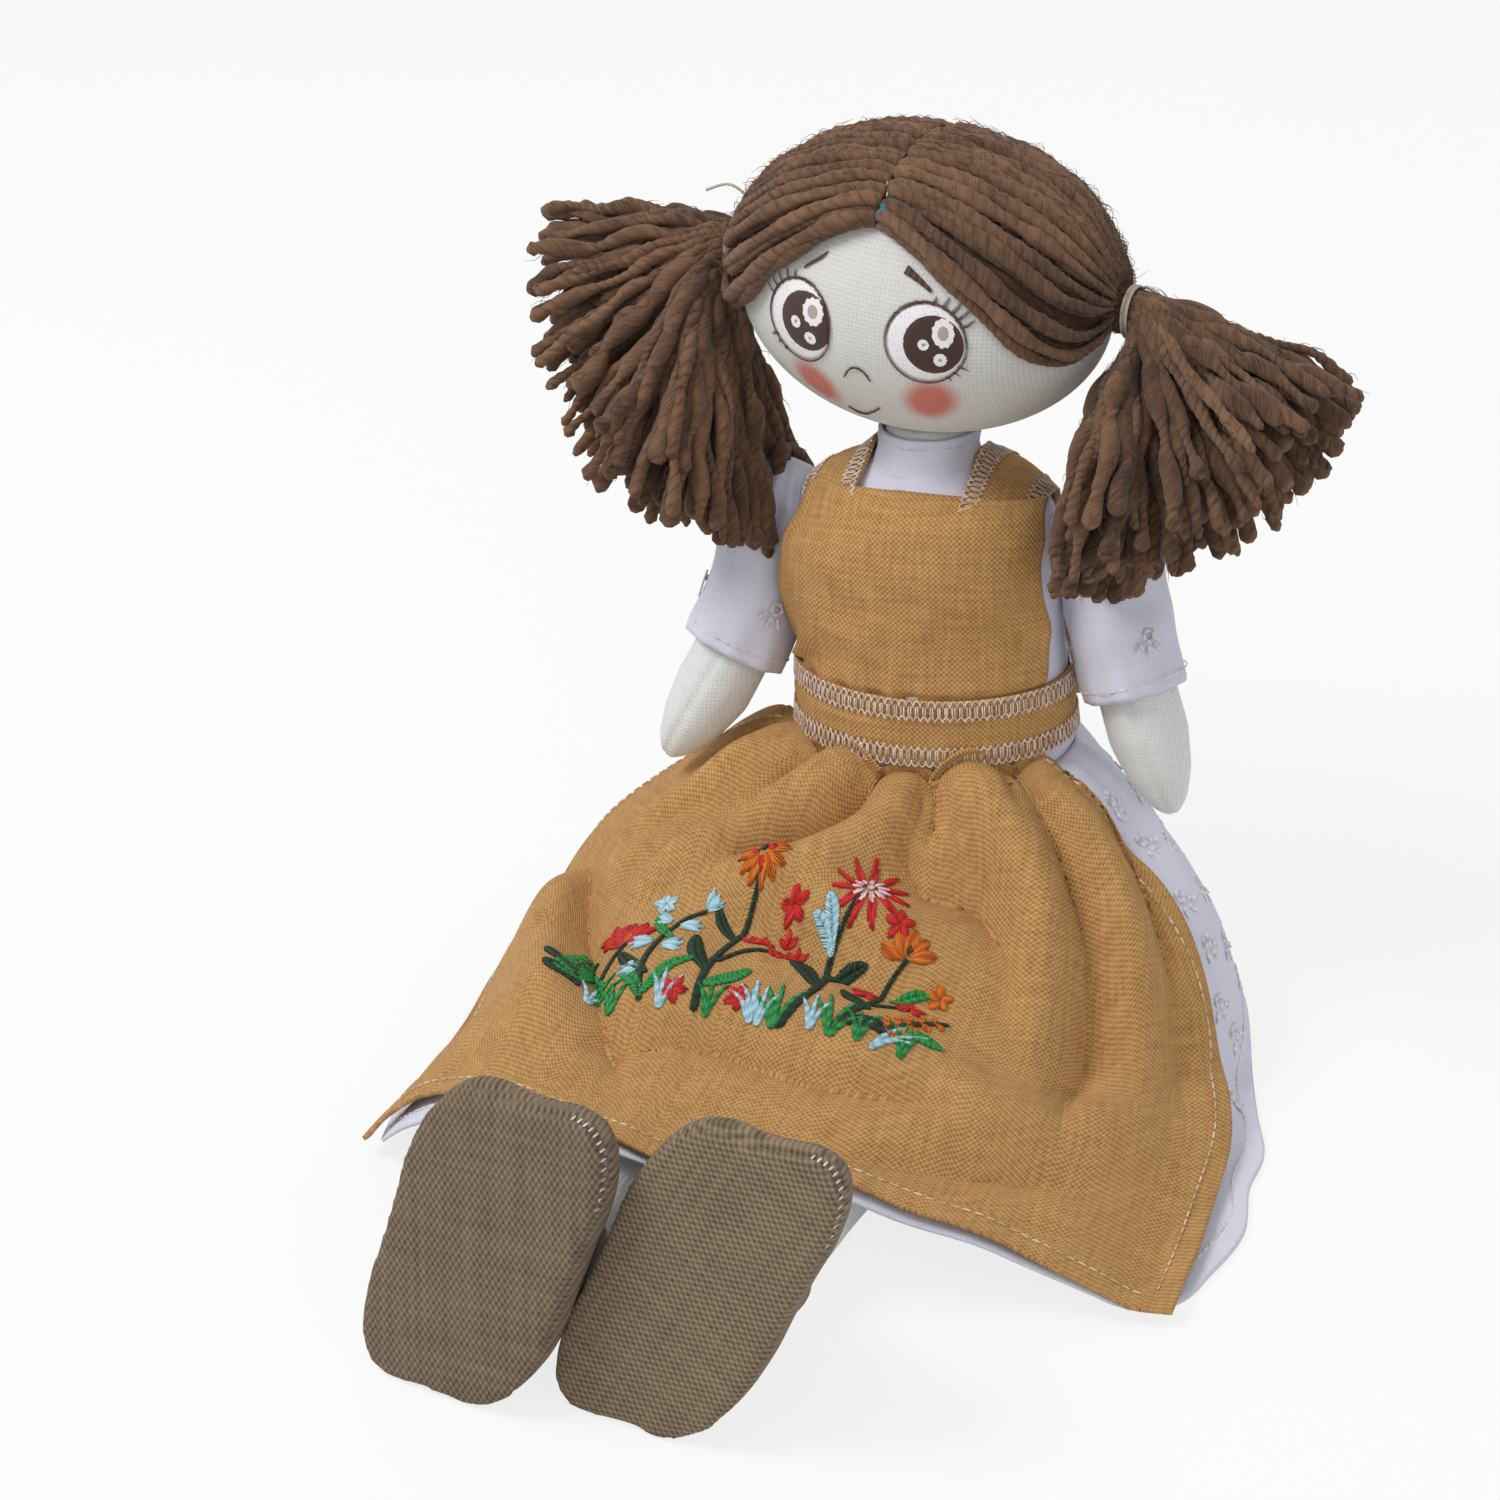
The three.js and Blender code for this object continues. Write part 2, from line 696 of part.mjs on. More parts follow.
const legPoses = {
  left: { side: 1, length: 126, aim: radians(-4.6), sag: 0.34 },
  right: { side: -1, length: 132, aim: radians(-7), sag: 0.22 },
};
const legShape = profile([
  [0, thighRadius],
  [30, thighRadius - 1.6],
  [70, 15],
  [100, 12.4],
  [140, ankleRadius],
]);

function legSolid(pose) {
  const rings = [];
  const count = 18;
  const ring = (along, radius) =>
    Array.from({ length: count }, (_, i) => {
      const angle = (i / count) * 2 * PI;
      const drop = (hipZ - ankleZ) * max(0, along / pose.length);
      return new THREE.Vector3(radius * cos(angle), -along, radius * sin(angle) - drop);
    });
  for (const turn of [75, 55, 35, 15])
    rings.push(ring(-thighRadius * sin(radians(turn)), thighRadius * cos(radians(turn))));
  for (const along of [0, 14, 30, 50, 70, 100, pose.length])
    rings.push(ring(along, legShape(along)[0]));
  return loft(rings);
}

// The sole's outline: an egg with its broad end at the toe, standing on its heel
function soleOutline(margin, count = 24) {
  return Array.from({ length: count }, (_, i) => {
    const angle = (i / count) * 2 * PI;
    const across = Math.sign(cos(angle)) * Math.abs(cos(angle)) ** 0.72;
    const up = Math.sign(sin(angle)) * Math.abs(sin(angle)) ** 0.74;
    const broad = 1 + 0.05 * up;
    return new THREE.Vector2(
      across * broad * (soleWidth / 2 - margin),
      up * (soleLength / 2 - margin),
    );
  });
}

// Slices of the shoe, from the ankle to the sole, in the leg's own frame
function shoeFrame(pose) {
  return new THREE.Matrix4()
    .makeTranslation(0, -pose.length - shoeDepth, soleMiddle - hipZ)
    .multiply(new THREE.Matrix4().makeRotationX(-soleLean))
    .multiply(new THREE.Matrix4().set(1, 0, pose.sag, 0, 0, 1, 0, 0, 0, 0, 1, 0, 0, 0, 0, 1));
}

function soleSlab(pose, margin, front, back) {
  const shape = new THREE.Shape(soleOutline(margin));
  const depth = back - front;
  const slab = new THREE.ExtrudeGeometry(shape, { depth, bevelEnabled: false });
  return slab.rotateX(PI / 2).translate(0, back, 0).applyMatrix4(shoeFrame(pose));
}

function shoeUpper(pose) {
  const outline = soleOutline(0.6);
  const count = outline.length;
  const frame = shoeFrame(pose);
  const behindSole = layerGap;
  const ankleRing = Array.from({ length: count }, (_, i) => {
    const angle = (i / count) * 2 * PI;
    const radius = ankleRadius + 2.5;
    return new THREE.Vector3(
      radius * cos(angle),
      -pose.length - layerGap,
      radius * sin(angle) - (hipZ - ankleZ),
    );
  });
  const slices = [
    [0, 1],
    [0.16, 1.035],
    [0.36, 1.03],
    [0.6, 0.98],
    [0.82, 0.93],
  ];
  const rings = slices.map(([share, swell]) => {
    const blend = share ** 2.2;
    return outline.map((p, i) => {
      const flat = new THREE.Vector3(p.x * swell, behindSole, p.y * swell);
      flat.applyMatrix4(frame);
      const along = ankleRing[i].y - flat.y;
      const mixed = flat.lerp(ankleRing[i], blend);
      mixed.y += along * (share - blend) * (1 - blend);
      return mixed;
    });
  });
  return loft([...rings, ankleRing]);
}

for (const [name, pose] of Object.entries(legPoses)) {
  const leg = new THREE.Group();
  leg.position.set(pose.side * hipSpacing, hipY, hipZ);
  leg.rotation.z = pose.aim;
  leg.updateMatrix();
  root.add(leg);
  const fromWorld = leg.matrix.clone().invert();
  const floor = box(-widest, widest, -300, 100, -40, 0).applyMatrix4(fromWorld);
  add(leg, "leg_" + name, cut(legSolid(pose), floor), "cotton");
  const pocket = soleSlab(pose, insoleMargin - 0.4, -1, insoleThickness + 2 * layerGap);
  add(leg, "shoe_upper_" + name, cut(shoeUpper(pose), pocket, floor), "shoe");
  const insole = soleSlab(pose, insoleMargin, layerGap, layerGap + insoleThickness);
  add(leg, "insole_" + name, insole, "card");
  const sole = soleSlab(pose, 0, -soleThickness, 0);
  add(leg, "shoe_sole_" + name, cut(sole, floor), "shoe");
}

// Skirts: one height of cloth over the waist, the lap and the floor

const skirtWaist = new THREE.Vector3(0, 0, waistHeight).applyMatrix4(upper.matrix);
skirtWaist.z -= skirtTop;
const waistRing = {
  width: waistHalfWidth + 0.5 + overBodice + 2 * layerGap,
  depth: waistHalfDepth + 0.5 + overBodice + 2 * layerGap,
};

// The bell's height, from the waist out to the floor
const bell = profile([
  [0, 1],
  [0.18, 0.93],
  [0.42, 0.76],
  [0.64, 0.6],
  [0.82, 0.42],
  [0.93, 0.22],
  [1, 0],
]);

// How far the bell spreads, in a direction from -1 at the front to 1 at the back
const bellReach = (backward) => sideReach + (backReach - sideReach) * smooth(backward);

function skirtHeight(x, y) {
  const dx = x - skirtWaist.x;
  const dy = y - skirtWaist.y;
  const span = hypot(dx, dy) + 1e-6;
  const away = span * max(0, 1 - 1 / hypot(dx / waistRing.width, dy / waistRing.depth));
  const reach = bellReach(dy / span);
  const turn = Math.atan2(dx, -dy);
  const gather = 1.5 * cos(15 * turn) * smooth(away / 8) * (1 - smooth(away / 50));
  const top = skirtWaist.z + dx * Math.tan(leanSide) - dy * Math.tan(leanBack);
  const tent = max(0, top * bell(min(1, away / reach))[0] + gather);
  const forward = smooth((hipY + 4 - y) / 26);
  const along = smooth((-92 - y) / 42);
  const middle = -6 - 10 * smooth((-40 - y) / 90);
  const core = 30 + 3 * along;
  const fall = x > middle ? 72 : 44;
  const side = min(1, max(0, Math.abs(x - middle) - core) / fall);
  const fold = 1.4 * cos(x / 9 + y / 30) * (1 - 0.5 * along);
  const ridge = (lapHeight + (hemHeight - lapHeight) * along + fold) * forward;
  const lap = ridge * (1 - side);
  const power = 6;
  return (tent ** power + lap ** power + floorCloth ** power) ** (1 / power);
}

// A point of the skirt, stood off along the cloth's own normal.
function onSkirt(x, y, offset) {
  const step = 0.6;
  const z = skirtHeight(x, y);
  const slopeX = (skirtHeight(x + step, y) - skirtHeight(x - step, y)) / (2 * step);
  const slopeY = (skirtHeight(x, y + step) - skirtHeight(x, y - step)) / (2 * step);
  const normal = new THREE.Vector3(-slopeX, -slopeY, 1).normalize();
  return new THREE.Vector3(x, y, z).addScaledVector(normal, offset);
}

// The dress hem on the floor, from the front round the doll's left side
function hemBehind(degrees) {
  const turn = radians(degrees);
  const reach = bellReach(-cos(turn)) + 2.5;
  const ring = 1 / hypot(sin(turn) / waistRing.width, cos(turn) / waistRing.depth);
  const out = ring + reach;
  return [skirtWaist.x + out * sin(turn), skirtWaist.y - out * cos(turn)];
}

const dressHem = new THREE.CatmullRomCurve3(
  [
    [-12, -134],
    [44, -126],
    [92, -108],
    [98, -78],
    [92, -34],
    hemBehind(98),
    hemBehind(122),
    hemBehind(150),
    hemBehind(180),
    hemBehind(210),
    hemBehind(238),
    hemBehind(262),
    [-92, -40],
    [-92, -72],
    [-94, -114],
    [-64, -136],
  ].map(([x, y]) => new THREE.Vector3(x, y, 0)),
  true,
  "centripetal",
);

function dressSkirt(above, below) {
  const around = 36;
  const down = 9;
  const plan = grid(around, down, (i, j) => {
    const hem = dressHem.getPoint(i / around);
    const turn = Math.atan2(hem.x - skirtWaist.x, -(hem.y - skirtWaist.y));
    const waistX = skirtWaist.x + waistRing.width * sin(turn);
    const waistY = skirtWaist.y - waistRing.depth * cos(turn);
    const share = (j / (down - 1)) ** 0.9;
    return [waistX + (hem.x - waistX) * share, waistY + (hem.y - waistY) * share];
  });
  const layer = (offset) => plan.map((row) => row.map(([x, y]) => onSkirt(x, y, offset)));
  return sheet(layer(above), layer(-below), true);
}

// The front folds with the legs, so below the hip line the two parts meet on a round face.
const splitRadius = 28;
const hipRod = (radius) => rod("x", radius, -widest, widest, 48).translate(0, hipY, hipZ);
const behindHips = box(-widest, widest, hipY - layerGap, 200, -20, 200);
const beforeHips = box(-widest, widest, -200, hipY, -20, 200);
const belowFloor = box(-widest, widest, -200, 200, -40, 0);
const frontOf = (g) => cut(g, behindHips, hipRod(splitRadius + layerGap));
const backOf = (g) => cut(g, cut(beforeHips, hipRod(splitRadius)));
const skirt = cut(dressSkirt(0, cloth), belowFloor);
add(root, "dress_skirt_front", largest(frontOf(skirt)), "dress");
add(root, "dress_skirt_back", largest(backOf(skirt)), "dress");

// The apron: a straight cut cloth, gathered under the sash, with loose side edges
const edgeCurve = (points) =>
  new THREE.CatmullRomCurve3(points.map(([x, y]) => new THREE.Vector3(x, y, 0)));
const apronLeftEdge = edgeCurve([[33, -16], [60, -18], [81, -31], [91, -52], [98, -88], [97, -120]]);
const apronRightEdge = edgeCurve([[-36, -4], [-64, -6], [-84, -20], [-89, -50], [-91, -92], [-95, -129]]);
const apronMiddle = edgeCurve([[-6, -30], [-7, -38], [-9, -58], [-12, -86], [-14, -112], [-16, -137]]);

// The bow's tails come down from its knot and lie on the back of the skirt.
const tailLift = 5.6;
function bowTail(side) {
  const layer = (offset) =>
    grid(3, 6, (i, j) => {
      const share = j / 5;
      const x = skirtWaist.x + side * (1.2 + 7 * share + i * (5 + share));
      const y = skirtWaist.y + waistRing.depth + 3.4 + 15 * share;
      const place = onSkirt(x, y, offset);
      place.z += tailLift * (1 - share) ** 4;
      return place;
    });
  return sheet(layer(drapeGap + linen), layer(drapeGap));
}
add(root, "bow_tail_left", bowTail(1), "linen");
add(root, "bow_tail_right", bowTail(-1), "linen");

const apronArc = { left: radians(62), right: radians(84) };

function apronSkirt() {
  const rows = 20;
  const down = 10;
  const waistArc = (across) => {
    const turn = across * (across > 0 ? apronArc.left : apronArc.right);
    const x = skirtWaist.x + (waistRing.width + 1) * sin(turn);
    return new THREE.Vector3(x, skirtWaist.y - (waistRing.depth + 1) * cos(turn), 0);
  };
  const plan = grid(rows, down, (i, j) => {
    const across = (i / (rows - 1)) * 2 - 1;
    const share = j / (down - 1);
    const middle = apronMiddle.getPoint(share);
    const edge = (across > 0 ? apronLeftEdge : apronRightEdge).getPoint(share);
    const spread = middle.lerp(edge, Math.abs(across));
    return spread.lerp(waistArc(across), (1 - share) ** 5);
  });
  const layer = (offset) => plan.map((row) => row.map((p) => onSkirt(p.x, p.y, offset)));
  return sheet(layer(drapeGap + linen), layer(drapeGap));
}

const apron = cut(apronSkirt(), dressSkirt(layerGap, 3), belowFloor);
add(root, "apron_skirt", largest(frontOf(apron)), "linen");
const apronSides = backOf(apron);
const leftSide = box(skirtWaist.x, widest, -200, 200, -40, 200);
const rightSide = box(-widest, skirtWaist.x, -200, 200, -40, 200);
add(root, "apron_side_left", largest(common(apronSides, leftSide)), "linen");
add(root, "apron_side_right", largest(common(apronSides, rightSide)), "linen");

export default root;
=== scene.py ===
# The looks of a handmade cloth doll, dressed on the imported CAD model.
# Lengths in the dictionaries are millimetres and angles are degrees, unless a note says otherwise.
import math

import bmesh
import bpy
import numpy as np
from mathutils import Matrix, Vector


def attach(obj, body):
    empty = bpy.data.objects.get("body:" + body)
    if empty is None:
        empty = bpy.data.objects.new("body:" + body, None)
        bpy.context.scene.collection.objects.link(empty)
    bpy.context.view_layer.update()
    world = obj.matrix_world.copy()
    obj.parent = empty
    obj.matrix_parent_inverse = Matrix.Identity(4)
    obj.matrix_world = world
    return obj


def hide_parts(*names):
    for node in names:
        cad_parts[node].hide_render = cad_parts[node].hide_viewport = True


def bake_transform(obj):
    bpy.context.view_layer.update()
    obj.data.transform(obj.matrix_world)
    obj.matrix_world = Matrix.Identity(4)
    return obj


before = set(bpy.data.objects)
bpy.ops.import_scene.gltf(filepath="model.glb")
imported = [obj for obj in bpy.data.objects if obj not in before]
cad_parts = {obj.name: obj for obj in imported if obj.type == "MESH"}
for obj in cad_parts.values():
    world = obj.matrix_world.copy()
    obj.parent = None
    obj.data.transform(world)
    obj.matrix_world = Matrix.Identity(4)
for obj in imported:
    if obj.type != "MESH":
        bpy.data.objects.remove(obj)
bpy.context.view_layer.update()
mm = 0.001

# How the doll sits: the body leans back and to its right, the head is turned a little
stance = {
    "seatMiddle": (5.8, 6.0),
    "bodyFoot": (5.8, -10.0),
    "leanBack": 6.5,
    "leanSide": 5.0,
    "headHeight": 182.5,
    "headLevel": 2.5,
    "headTurn": -8.0,
}


def turned(axis, degrees):
    return Matrix.Rotation(math.radians(degrees), 4, axis)


floorPlace = Matrix.Translation((-stance["seatMiddle"][0], -stance["seatMiddle"][1], 0))
upperPlace = (
    floorPlace
    @ Matrix.Translation((stance["bodyFoot"][0], stance["bodyFoot"][1], 0))
    @ turned("X", -stance["leanBack"])
    @ turned("Y", -stance["leanSide"])
)
headPlace = (
    upperPlace
    @ Matrix.Translation((0, 0, stance["headHeight"]))
    @ turned("Y", stance["headLevel"])
    @ turned("Z", stance["headTurn"])
)


# Colours, nodes and materials

def linear(hexText):
    channels = [int(hexText[i:i + 2], 16) / 255 for i in (1, 3, 5)]
    bent = [c / 12.92 if c <= 0.04045 else ((c + 0.055) / 1.055) ** 2.4 for c in channels]
    return (*bent, 1.0)


def addNode(tree, kind, values=None, links=None, **settings):
    made = tree.nodes.new(kind)
    for key, value in settings.items():
        setattr(made, key, value)
    for key, value in (values or {}).items():
        made.inputs[key].default_value = value
    for key, socket in (links or {}).items():
        tree.links.new(socket, made.inputs[key])
    return made


def newFinish(name, roughness=0.9, sheen=0.0):
    finish = bpy.data.materials.new(name)
    finish.use_nodes = True
    tree = finish.node_tree
    shader = tree.nodes["Principled BSDF"]
    shader.inputs["Roughness"].default_value = roughness
    shader.inputs["Specular IOR Level"].default_value = 0.25
    shader.inputs["Sheen Weight"].default_value = sheen
    shader.inputs["Sheen Roughness"].default_value = 0.6
    return finish, tree, shader


def calc(tree, operation, a, b=None, c=None):
    values, links = {}, {}
    for key, given in enumerate((a, b, c)):
        if isinstance(given, (int, float)):
            values[key] = given
        elif given is not None:
            links[key] = given
    return addNode(tree, "ShaderNodeMath", values, links, operation=operation).outputs[0]


def mixColours(tree, share, a, b, blend="MIX"):
    values, links = {}, {}
    for key, given in ((0, share), (6, a), (7, b)):
        if isinstance(given, (int, float, tuple)):
            values[key] = given
        else:
            links[key] = given
    return addNode(
        tree, "ShaderNodeMix", values, links, data_type="RGBA", blend_type=blend, clamp_result=True
    ).outputs[2]


def patternPlace(tree, fromUv, turn=(0, 0, 0)):
    # The pattern's own metres: the cloth's flat map, or the object's space for stuffed pieces
    source = addNode(tree, "ShaderNodeTexCoord")
    socket = source.outputs["UV" if fromUv else "Object"]
    mapping = addNode(tree, "ShaderNodeMapping", links={"Vector": socket})
    mapping.inputs["Rotation"].default_value = [math.radians(t) for t in turn]
    return mapping.outputs[0]


def weave(tree, place, pitch, axes=("X", "Y")):
    # Plain weave: threads over and under each other, as a height from 0 to 1
    split = addNode(tree, "ShaderNodeSeparateXYZ", links={0: place})
    scaled = [calc(tree, "DIVIDE", split.outputs[axis], pitch * mm) for axis in axes]
    waves = [calc(tree, "SINE", calc(tree, "MULTIPLY", s, math.pi)) for s in scaled]
    crowns = [calc(tree, "ABSOLUTE", wave) for wave in waves]
    cells = calc(tree, "ADD", calc(tree, "FLOOR", scaled[0]), calc(tree, "FLOOR", scaled[1]))
    over = calc(tree, "ABSOLUTE", calc(tree, "MODULO", cells, 2.0))
    warp = calc(tree, "MULTIPLY", crowns[0], calc(tree, "MULTIPLY_ADD", crowns[1], 0.45, 0.55))
    weft = calc(tree, "MULTIPLY", crowns[1], calc(tree, "MULTIPLY_ADD", crowns[0], 0.45, 0.55))
    return calc(tree, "MULTIPLY_ADD", over, calc(tree, "SUBTRACT", warp, weft), weft)


def streaks(tree, place, stretch, seedShift):
    # Slubs: noise drawn out along one direction of the cloth
    shift = (seedShift, seedShift * 0.7, 0)
    mapping = addNode(tree, "ShaderNodeMapping", {"Scale": stretch, "Location": shift}, {"Vector": place})
    noise = {"Scale": 1.0, "Detail": 2.0, "Roughness": 0.55}
    return addNode(tree, "ShaderNodeTexNoise", noise, {"Vector": mapping.outputs[0]}).outputs["Fac"]


def addBump(tree, shader, height, strength, distance):
    values = {"Strength": strength, "Distance": distance * mm}
    bump = addNode(tree, "ShaderNodeBump", values, {"Height": height})
    tree.links.new(bump.outputs[0], shader.inputs["Normal"])


def staggered(tree, place, pitch, axes=("X", "Y"), long=1.6, tall=1.6):
    # Short raised stitches, each row shifted by half a stitch, as a height from 0 to 1
    split = addNode(tree, "ShaderNodeSeparateXYZ", links={0: place})
    rates = [2 * math.pi / (pitch * size * mm) for size in (long, tall)]
    turns = [calc(tree, "MULTIPLY", split.outputs[axis], rate) for axis, rate in zip(axes, rates)]
    across, along = [calc(tree, "COSINE", turn) for turn in turns]
    return calc(tree, "MULTIPLY_ADD", calc(tree, "MULTIPLY", across, along), 0.5, 0.5)


def knit(tree, place, pitch, axes):
    return staggered(tree, place, pitch, axes, 1.35, 2.0)


def clothFinish(name, light, dark, pitch, fromUv=True, axes=("X", "Y"), turn=(0, 0, 0), slub=0.5,
                slubLength=30.0, weaveShade=0.35, bump=0.5, roughness=0.92, sheen=0.15, pattern=weave):
    finish, tree, shader = newFinish(name, roughness, sheen)
    place = patternPlace(tree, fromUv, turn)
    threads = pattern(tree, place, pitch, axes)
    across, along = 1 / (1.1 * mm), 1 / (slubLength * mm)
    scales = {"X": 0, "Y": 1, "Z": 2}
    first, second = [along] * 3, [along] * 3
    first[scales[axes[0]]] = across
    second[scales[axes[1]]] = across
    warpSlub = streaks(tree, place, first, 3.1)
    weftSlub = streaks(tree, place, second, 7.7)
    slubs = calc(tree, "ADD", warpSlub, weftSlub)
    both = calc(tree, "MULTIPLY_ADD", slubs, 2.2 * slub, 0.5 - 2.2 * slub)
    # The raised threads or stitches are painted lighter and the hollows between them darker, as painted
    # shade; the slubs vary the tone at random
    shade = calc(tree, "MULTIPLY_ADD", threads, weaveShade, calc(tree, "SUBTRACT", both, weaveShade * 0.5))
    clamped = addNode(tree, "ShaderNodeClamp", links={0: shade}).outputs[0]
    tree.links.new(mixColours(tree, clamped, linear(dark), linear(light)), shader.inputs["Base Color"])
    addBump(tree, shader, threads, bump, 0.25)
    return finish


# Mustard linen of the pinafore: uneven flax threads, so single threads show lighter and darker
linen = clothFinish(
    "linen mustard plain weave", "#deb073", "#8a5d2a", 0.82, slub=0.26, slubLength=11,
    weaveShade=0.62, bump=0.7, sheen=0.03, pattern=staggered
)
# White cotton of the dress: a fine even weave with a cool cast
dressCotton = clothFinish(
    "cotton white dress cloth", "#e4e5f3", "#cfd0e1", 0.6, slub=0.25, weaveShade=0.2, bump=0.25,
    roughness=0.85
)
# Undyed cotton of the body: a coarser open weave whose dots show on the face, drawn at 1 mm
bodyCotton = clothFinish(
    "cotton undyed body cloth", "#edf0f1", "#d0d2cf", 1.0, fromUv=False, axes=("X", "Z"),
    slub=0.1, weaveShade=0.45, bump=0.35, roughness=0.9
)
# Khaki knit of the shoes: rows of small stitches, steep on the left shoe and level on the right
shoeKnits = {
    name: clothFinish(
        "knit khaki ribbed" + ending, light, dark, 1.12, fromUv=False, axes=("X", "Z"), turn=(0, slope, 0),
        slub=0.25, weaveShade=0.9, bump=0.9, roughness=0.95, sheen=0.05, pattern=knit
    )
    for name, ending, light, dark, slope in (
        ("left", "", "#9c896f", "#524538", 62), ("right", " level", "#93806a", "#514336", 6)
    )
}


def threadFinish(name, light, dark, sheen=0.3, roughness=0.7):
    # Twisted thread: fine slanting plies along each strand's own map, painted lighter on the plies and darker
    # in the grooves between them as painted shade
    finish, tree, shader = newFinish(name, roughness, sheen)
    plyPitch = 0.7 * mm
    plies = addNode(
        tree, "ShaderNodeTexWave", {"Scale": 1 / plyPitch / 20, "Distortion": 1.0, "Detail": 1.0},
        {"Vector": patternPlace(tree, True)}, wave_type="BANDS", bands_direction="DIAGONAL"
    ).outputs["Fac"]
    tree.links.new(mixColours(tree, plies, linear(dark), linear(light)), shader.inputs["Base Color"])
    addBump(tree, shader, plies, 0.4, 0.1)
    return finish


overlockThread = threadFinish("thread pale overlock", "#ecdcd0", "#cbb4a2", sheen=0.1)
hemThread = threadFinish("thread cream sewing", "#e6d6b8", "#c0a67e")
hemWhite = threadFinish("thread white sewing", "#f2f1f5", "#cfced6")
browThread = threadFinish("thread dark brown stitching", "#6a5045", "#44312a", sheen=0.05)
stringFinish = threadFinish("string twisted grey", "#c2b9a8", "#948a79", sheen=0.1)


def yarnFinish():
    # Thick and thin wool: soft brown plies with painted shade in the grooves of the twist, and rare coloured
    # flecks
    finish, tree, shader = newFinish("wool yarn thick and thin", 0.95, 0.12)
    place = patternPlace(tree, True)
    space = patternPlace(tree, False)
    # What the strands hand over: their tone, their thickness and how deep their plies lie
    strandTone, girth, plyDepth = [
        addNode(tree, "ShaderNodeAttribute", attribute_name=label).outputs["Fac"]
        for label in ("strandTone", "girth", "plyDepth")
    ]
    drawnOut = (1 / (0.5 * mm), 1 / (5 * mm), 1)
    stretch = addNode(tree, "ShaderNodeMapping", {"Scale": drawnOut}, {"Vector": place}).outputs[0]
    fibres, clouds, uneven = [
        addNode(tree, "ShaderNodeTexNoise", values, {"Vector": source}).outputs["Fac"]
        for values, source in (
            ({"Scale": 1.0, "Detail": 4.0, "Roughness": 0.65}, stretch),
            ({"Scale": 90.0, "Detail": 2.0}, space),
            ({"Scale": 260.0, "Detail": 1.0}, space),
        )
    ]
    # The groove between the plies lies in shade
    split = addNode(tree, "ShaderNodeSeparateXYZ", links={0: place})
    around = calc(tree, "DIVIDE", split.outputs["X"], calc(tree, "MAXIMUM", girth, 0.00001))
    around = calc(tree, "MULTIPLY_ADD", uneven, 2.4, around)
    clear = calc(tree, "MINIMUM", calc(tree, "MULTIPLY", plyDepth, 6.0), 1.0)
    crest = calc(tree, "MULTIPLY", calc(tree, "ABSOLUTE", calc(tree, "COSINE", around)), clear)
    cloudy = calc(tree, "MULTIPLY_ADD", clouds, 0.6, -0.74)
    fibrous = calc(tree, "MULTIPLY_ADD", fibres, 1.3, cloudy)
    twisted = calc(tree, "MULTIPLY_ADD", crest, 0.26, fibrous)
    tone = calc(tree, "MULTIPLY_ADD", strandTone, 0.4, twisted)
    ramp = addNode(tree, "ShaderNodeValToRGB", links={0: tone})
    ramp.color_ramp.elements[0].position = 0.15
    ramp.color_ramp.elements[0].color = linear("#3f2a1e")
    ramp.color_ramp.elements[1].position = 0.85
    ramp.color_ramp.elements[1].color = linear("#886449")
    # One cell in a few holds a small fleck of another colour
    cells = addNode(tree, "ShaderNodeTexVoronoi", {"Scale": 60.0}, {"Vector": space})
    picked = addNode(tree, "ShaderNodeSeparateColor", links={0: cells.outputs["Color"]})
    near = calc(tree, "LESS_THAN", cells.outputs["Distance"], 0.09)
    rare = calc(tree, "GREATER_THAN", picked.outputs[0], 0.82)
    fleck = calc(tree, "MULTIPLY", near, rare)
    hues = addNode(tree, "ShaderNodeValToRGB", links={0: picked.outputs[1]})
    hues.color_ramp.interpolation = "CONSTANT"
    fleckColours = {0.0: "#3d5c84", 0.25: "#b5552a", 0.45: "#a02b3a", 0.6: "#6d7d35", 0.8: "#2f7a80"}
    for position, hexText in fleckColours.items():
        mark = hues.color_ramp.elements.new(position) if position else hues.color_ramp.elements[0]
        mark.color = linear(hexText)
    tree.links.new(mixColours(tree, fleck, ramp.outputs[0], hues.outputs[0]), shader.inputs["Base Color"])
    relief = calc(tree, "MULTIPLY_ADD", fibres, 0.9, calc(tree, "MULTIPLY", crest, 0.8))
    addBump(tree, shader, relief, 0.75, 0.6)
    return finish


yarn = yarnFinish()
print("finishes made")


# Meshes

def splineRead(rows, wanted):
    # Smooth reading of [place, value, value, ...] rows, as the CAD part reads them
    table = np.array(rows, float)
    places = table[:, 0]
    last = len(table) - 1
    w = np.clip(np.asarray(wanted, float), places[0], places[-1])
    i = np.clip(np.searchsorted(places, w, side="left") - 1, 0, last - 1)
    t = ((w - places[i]) / (places[i + 1] - places[i]))[..., None]
    p0, p1 = table[np.maximum(i - 1, 0), 1:], table[i, 1:]
    p2, p3 = table[i + 1, 1:], table[np.minimum(i + 2, last), 1:]
    v0, v1 = (p2 - p0) / 2, (p3 - p1) / 2
    return (2 * p1 - 2 * p2 + v0 + v1) * t ** 3 + (-3 * p1 + 3 * p2 - 2 * v0 - v1) * t ** 2 + v0 * t + p1


def smooth(t):
    s = np.clip(t, 0, 1)
    return s * s * (3 - 2 * s)


def curved(points, count):
    # A smooth line through a few points
    rows = np.array([[i, *p] for i, p in enumerate(points)], float)
    return splineRead(rows, np.linspace(0, len(points) - 1, count))


def placed(points, place):
    # Points given in one of the doll's frames, in the row frame, both in millimetres
    matrix = np.array(place)
    return np.asarray(points, float) @ matrix[:3, :3].T + matrix[:3, 3]


def moved(points, place):
    # The same, in the row frame's metres
    return placed(points, place) * mm


def unit(vectors, least=0.0):
    return vectors / np.maximum(np.linalg.norm(vectors, axis=-1, keepdims=True), least)


def lengthsAlong(line):
    return np.concatenate([[0], np.cumsum(np.linalg.norm(np.diff(line, axis=0), axis=1))])


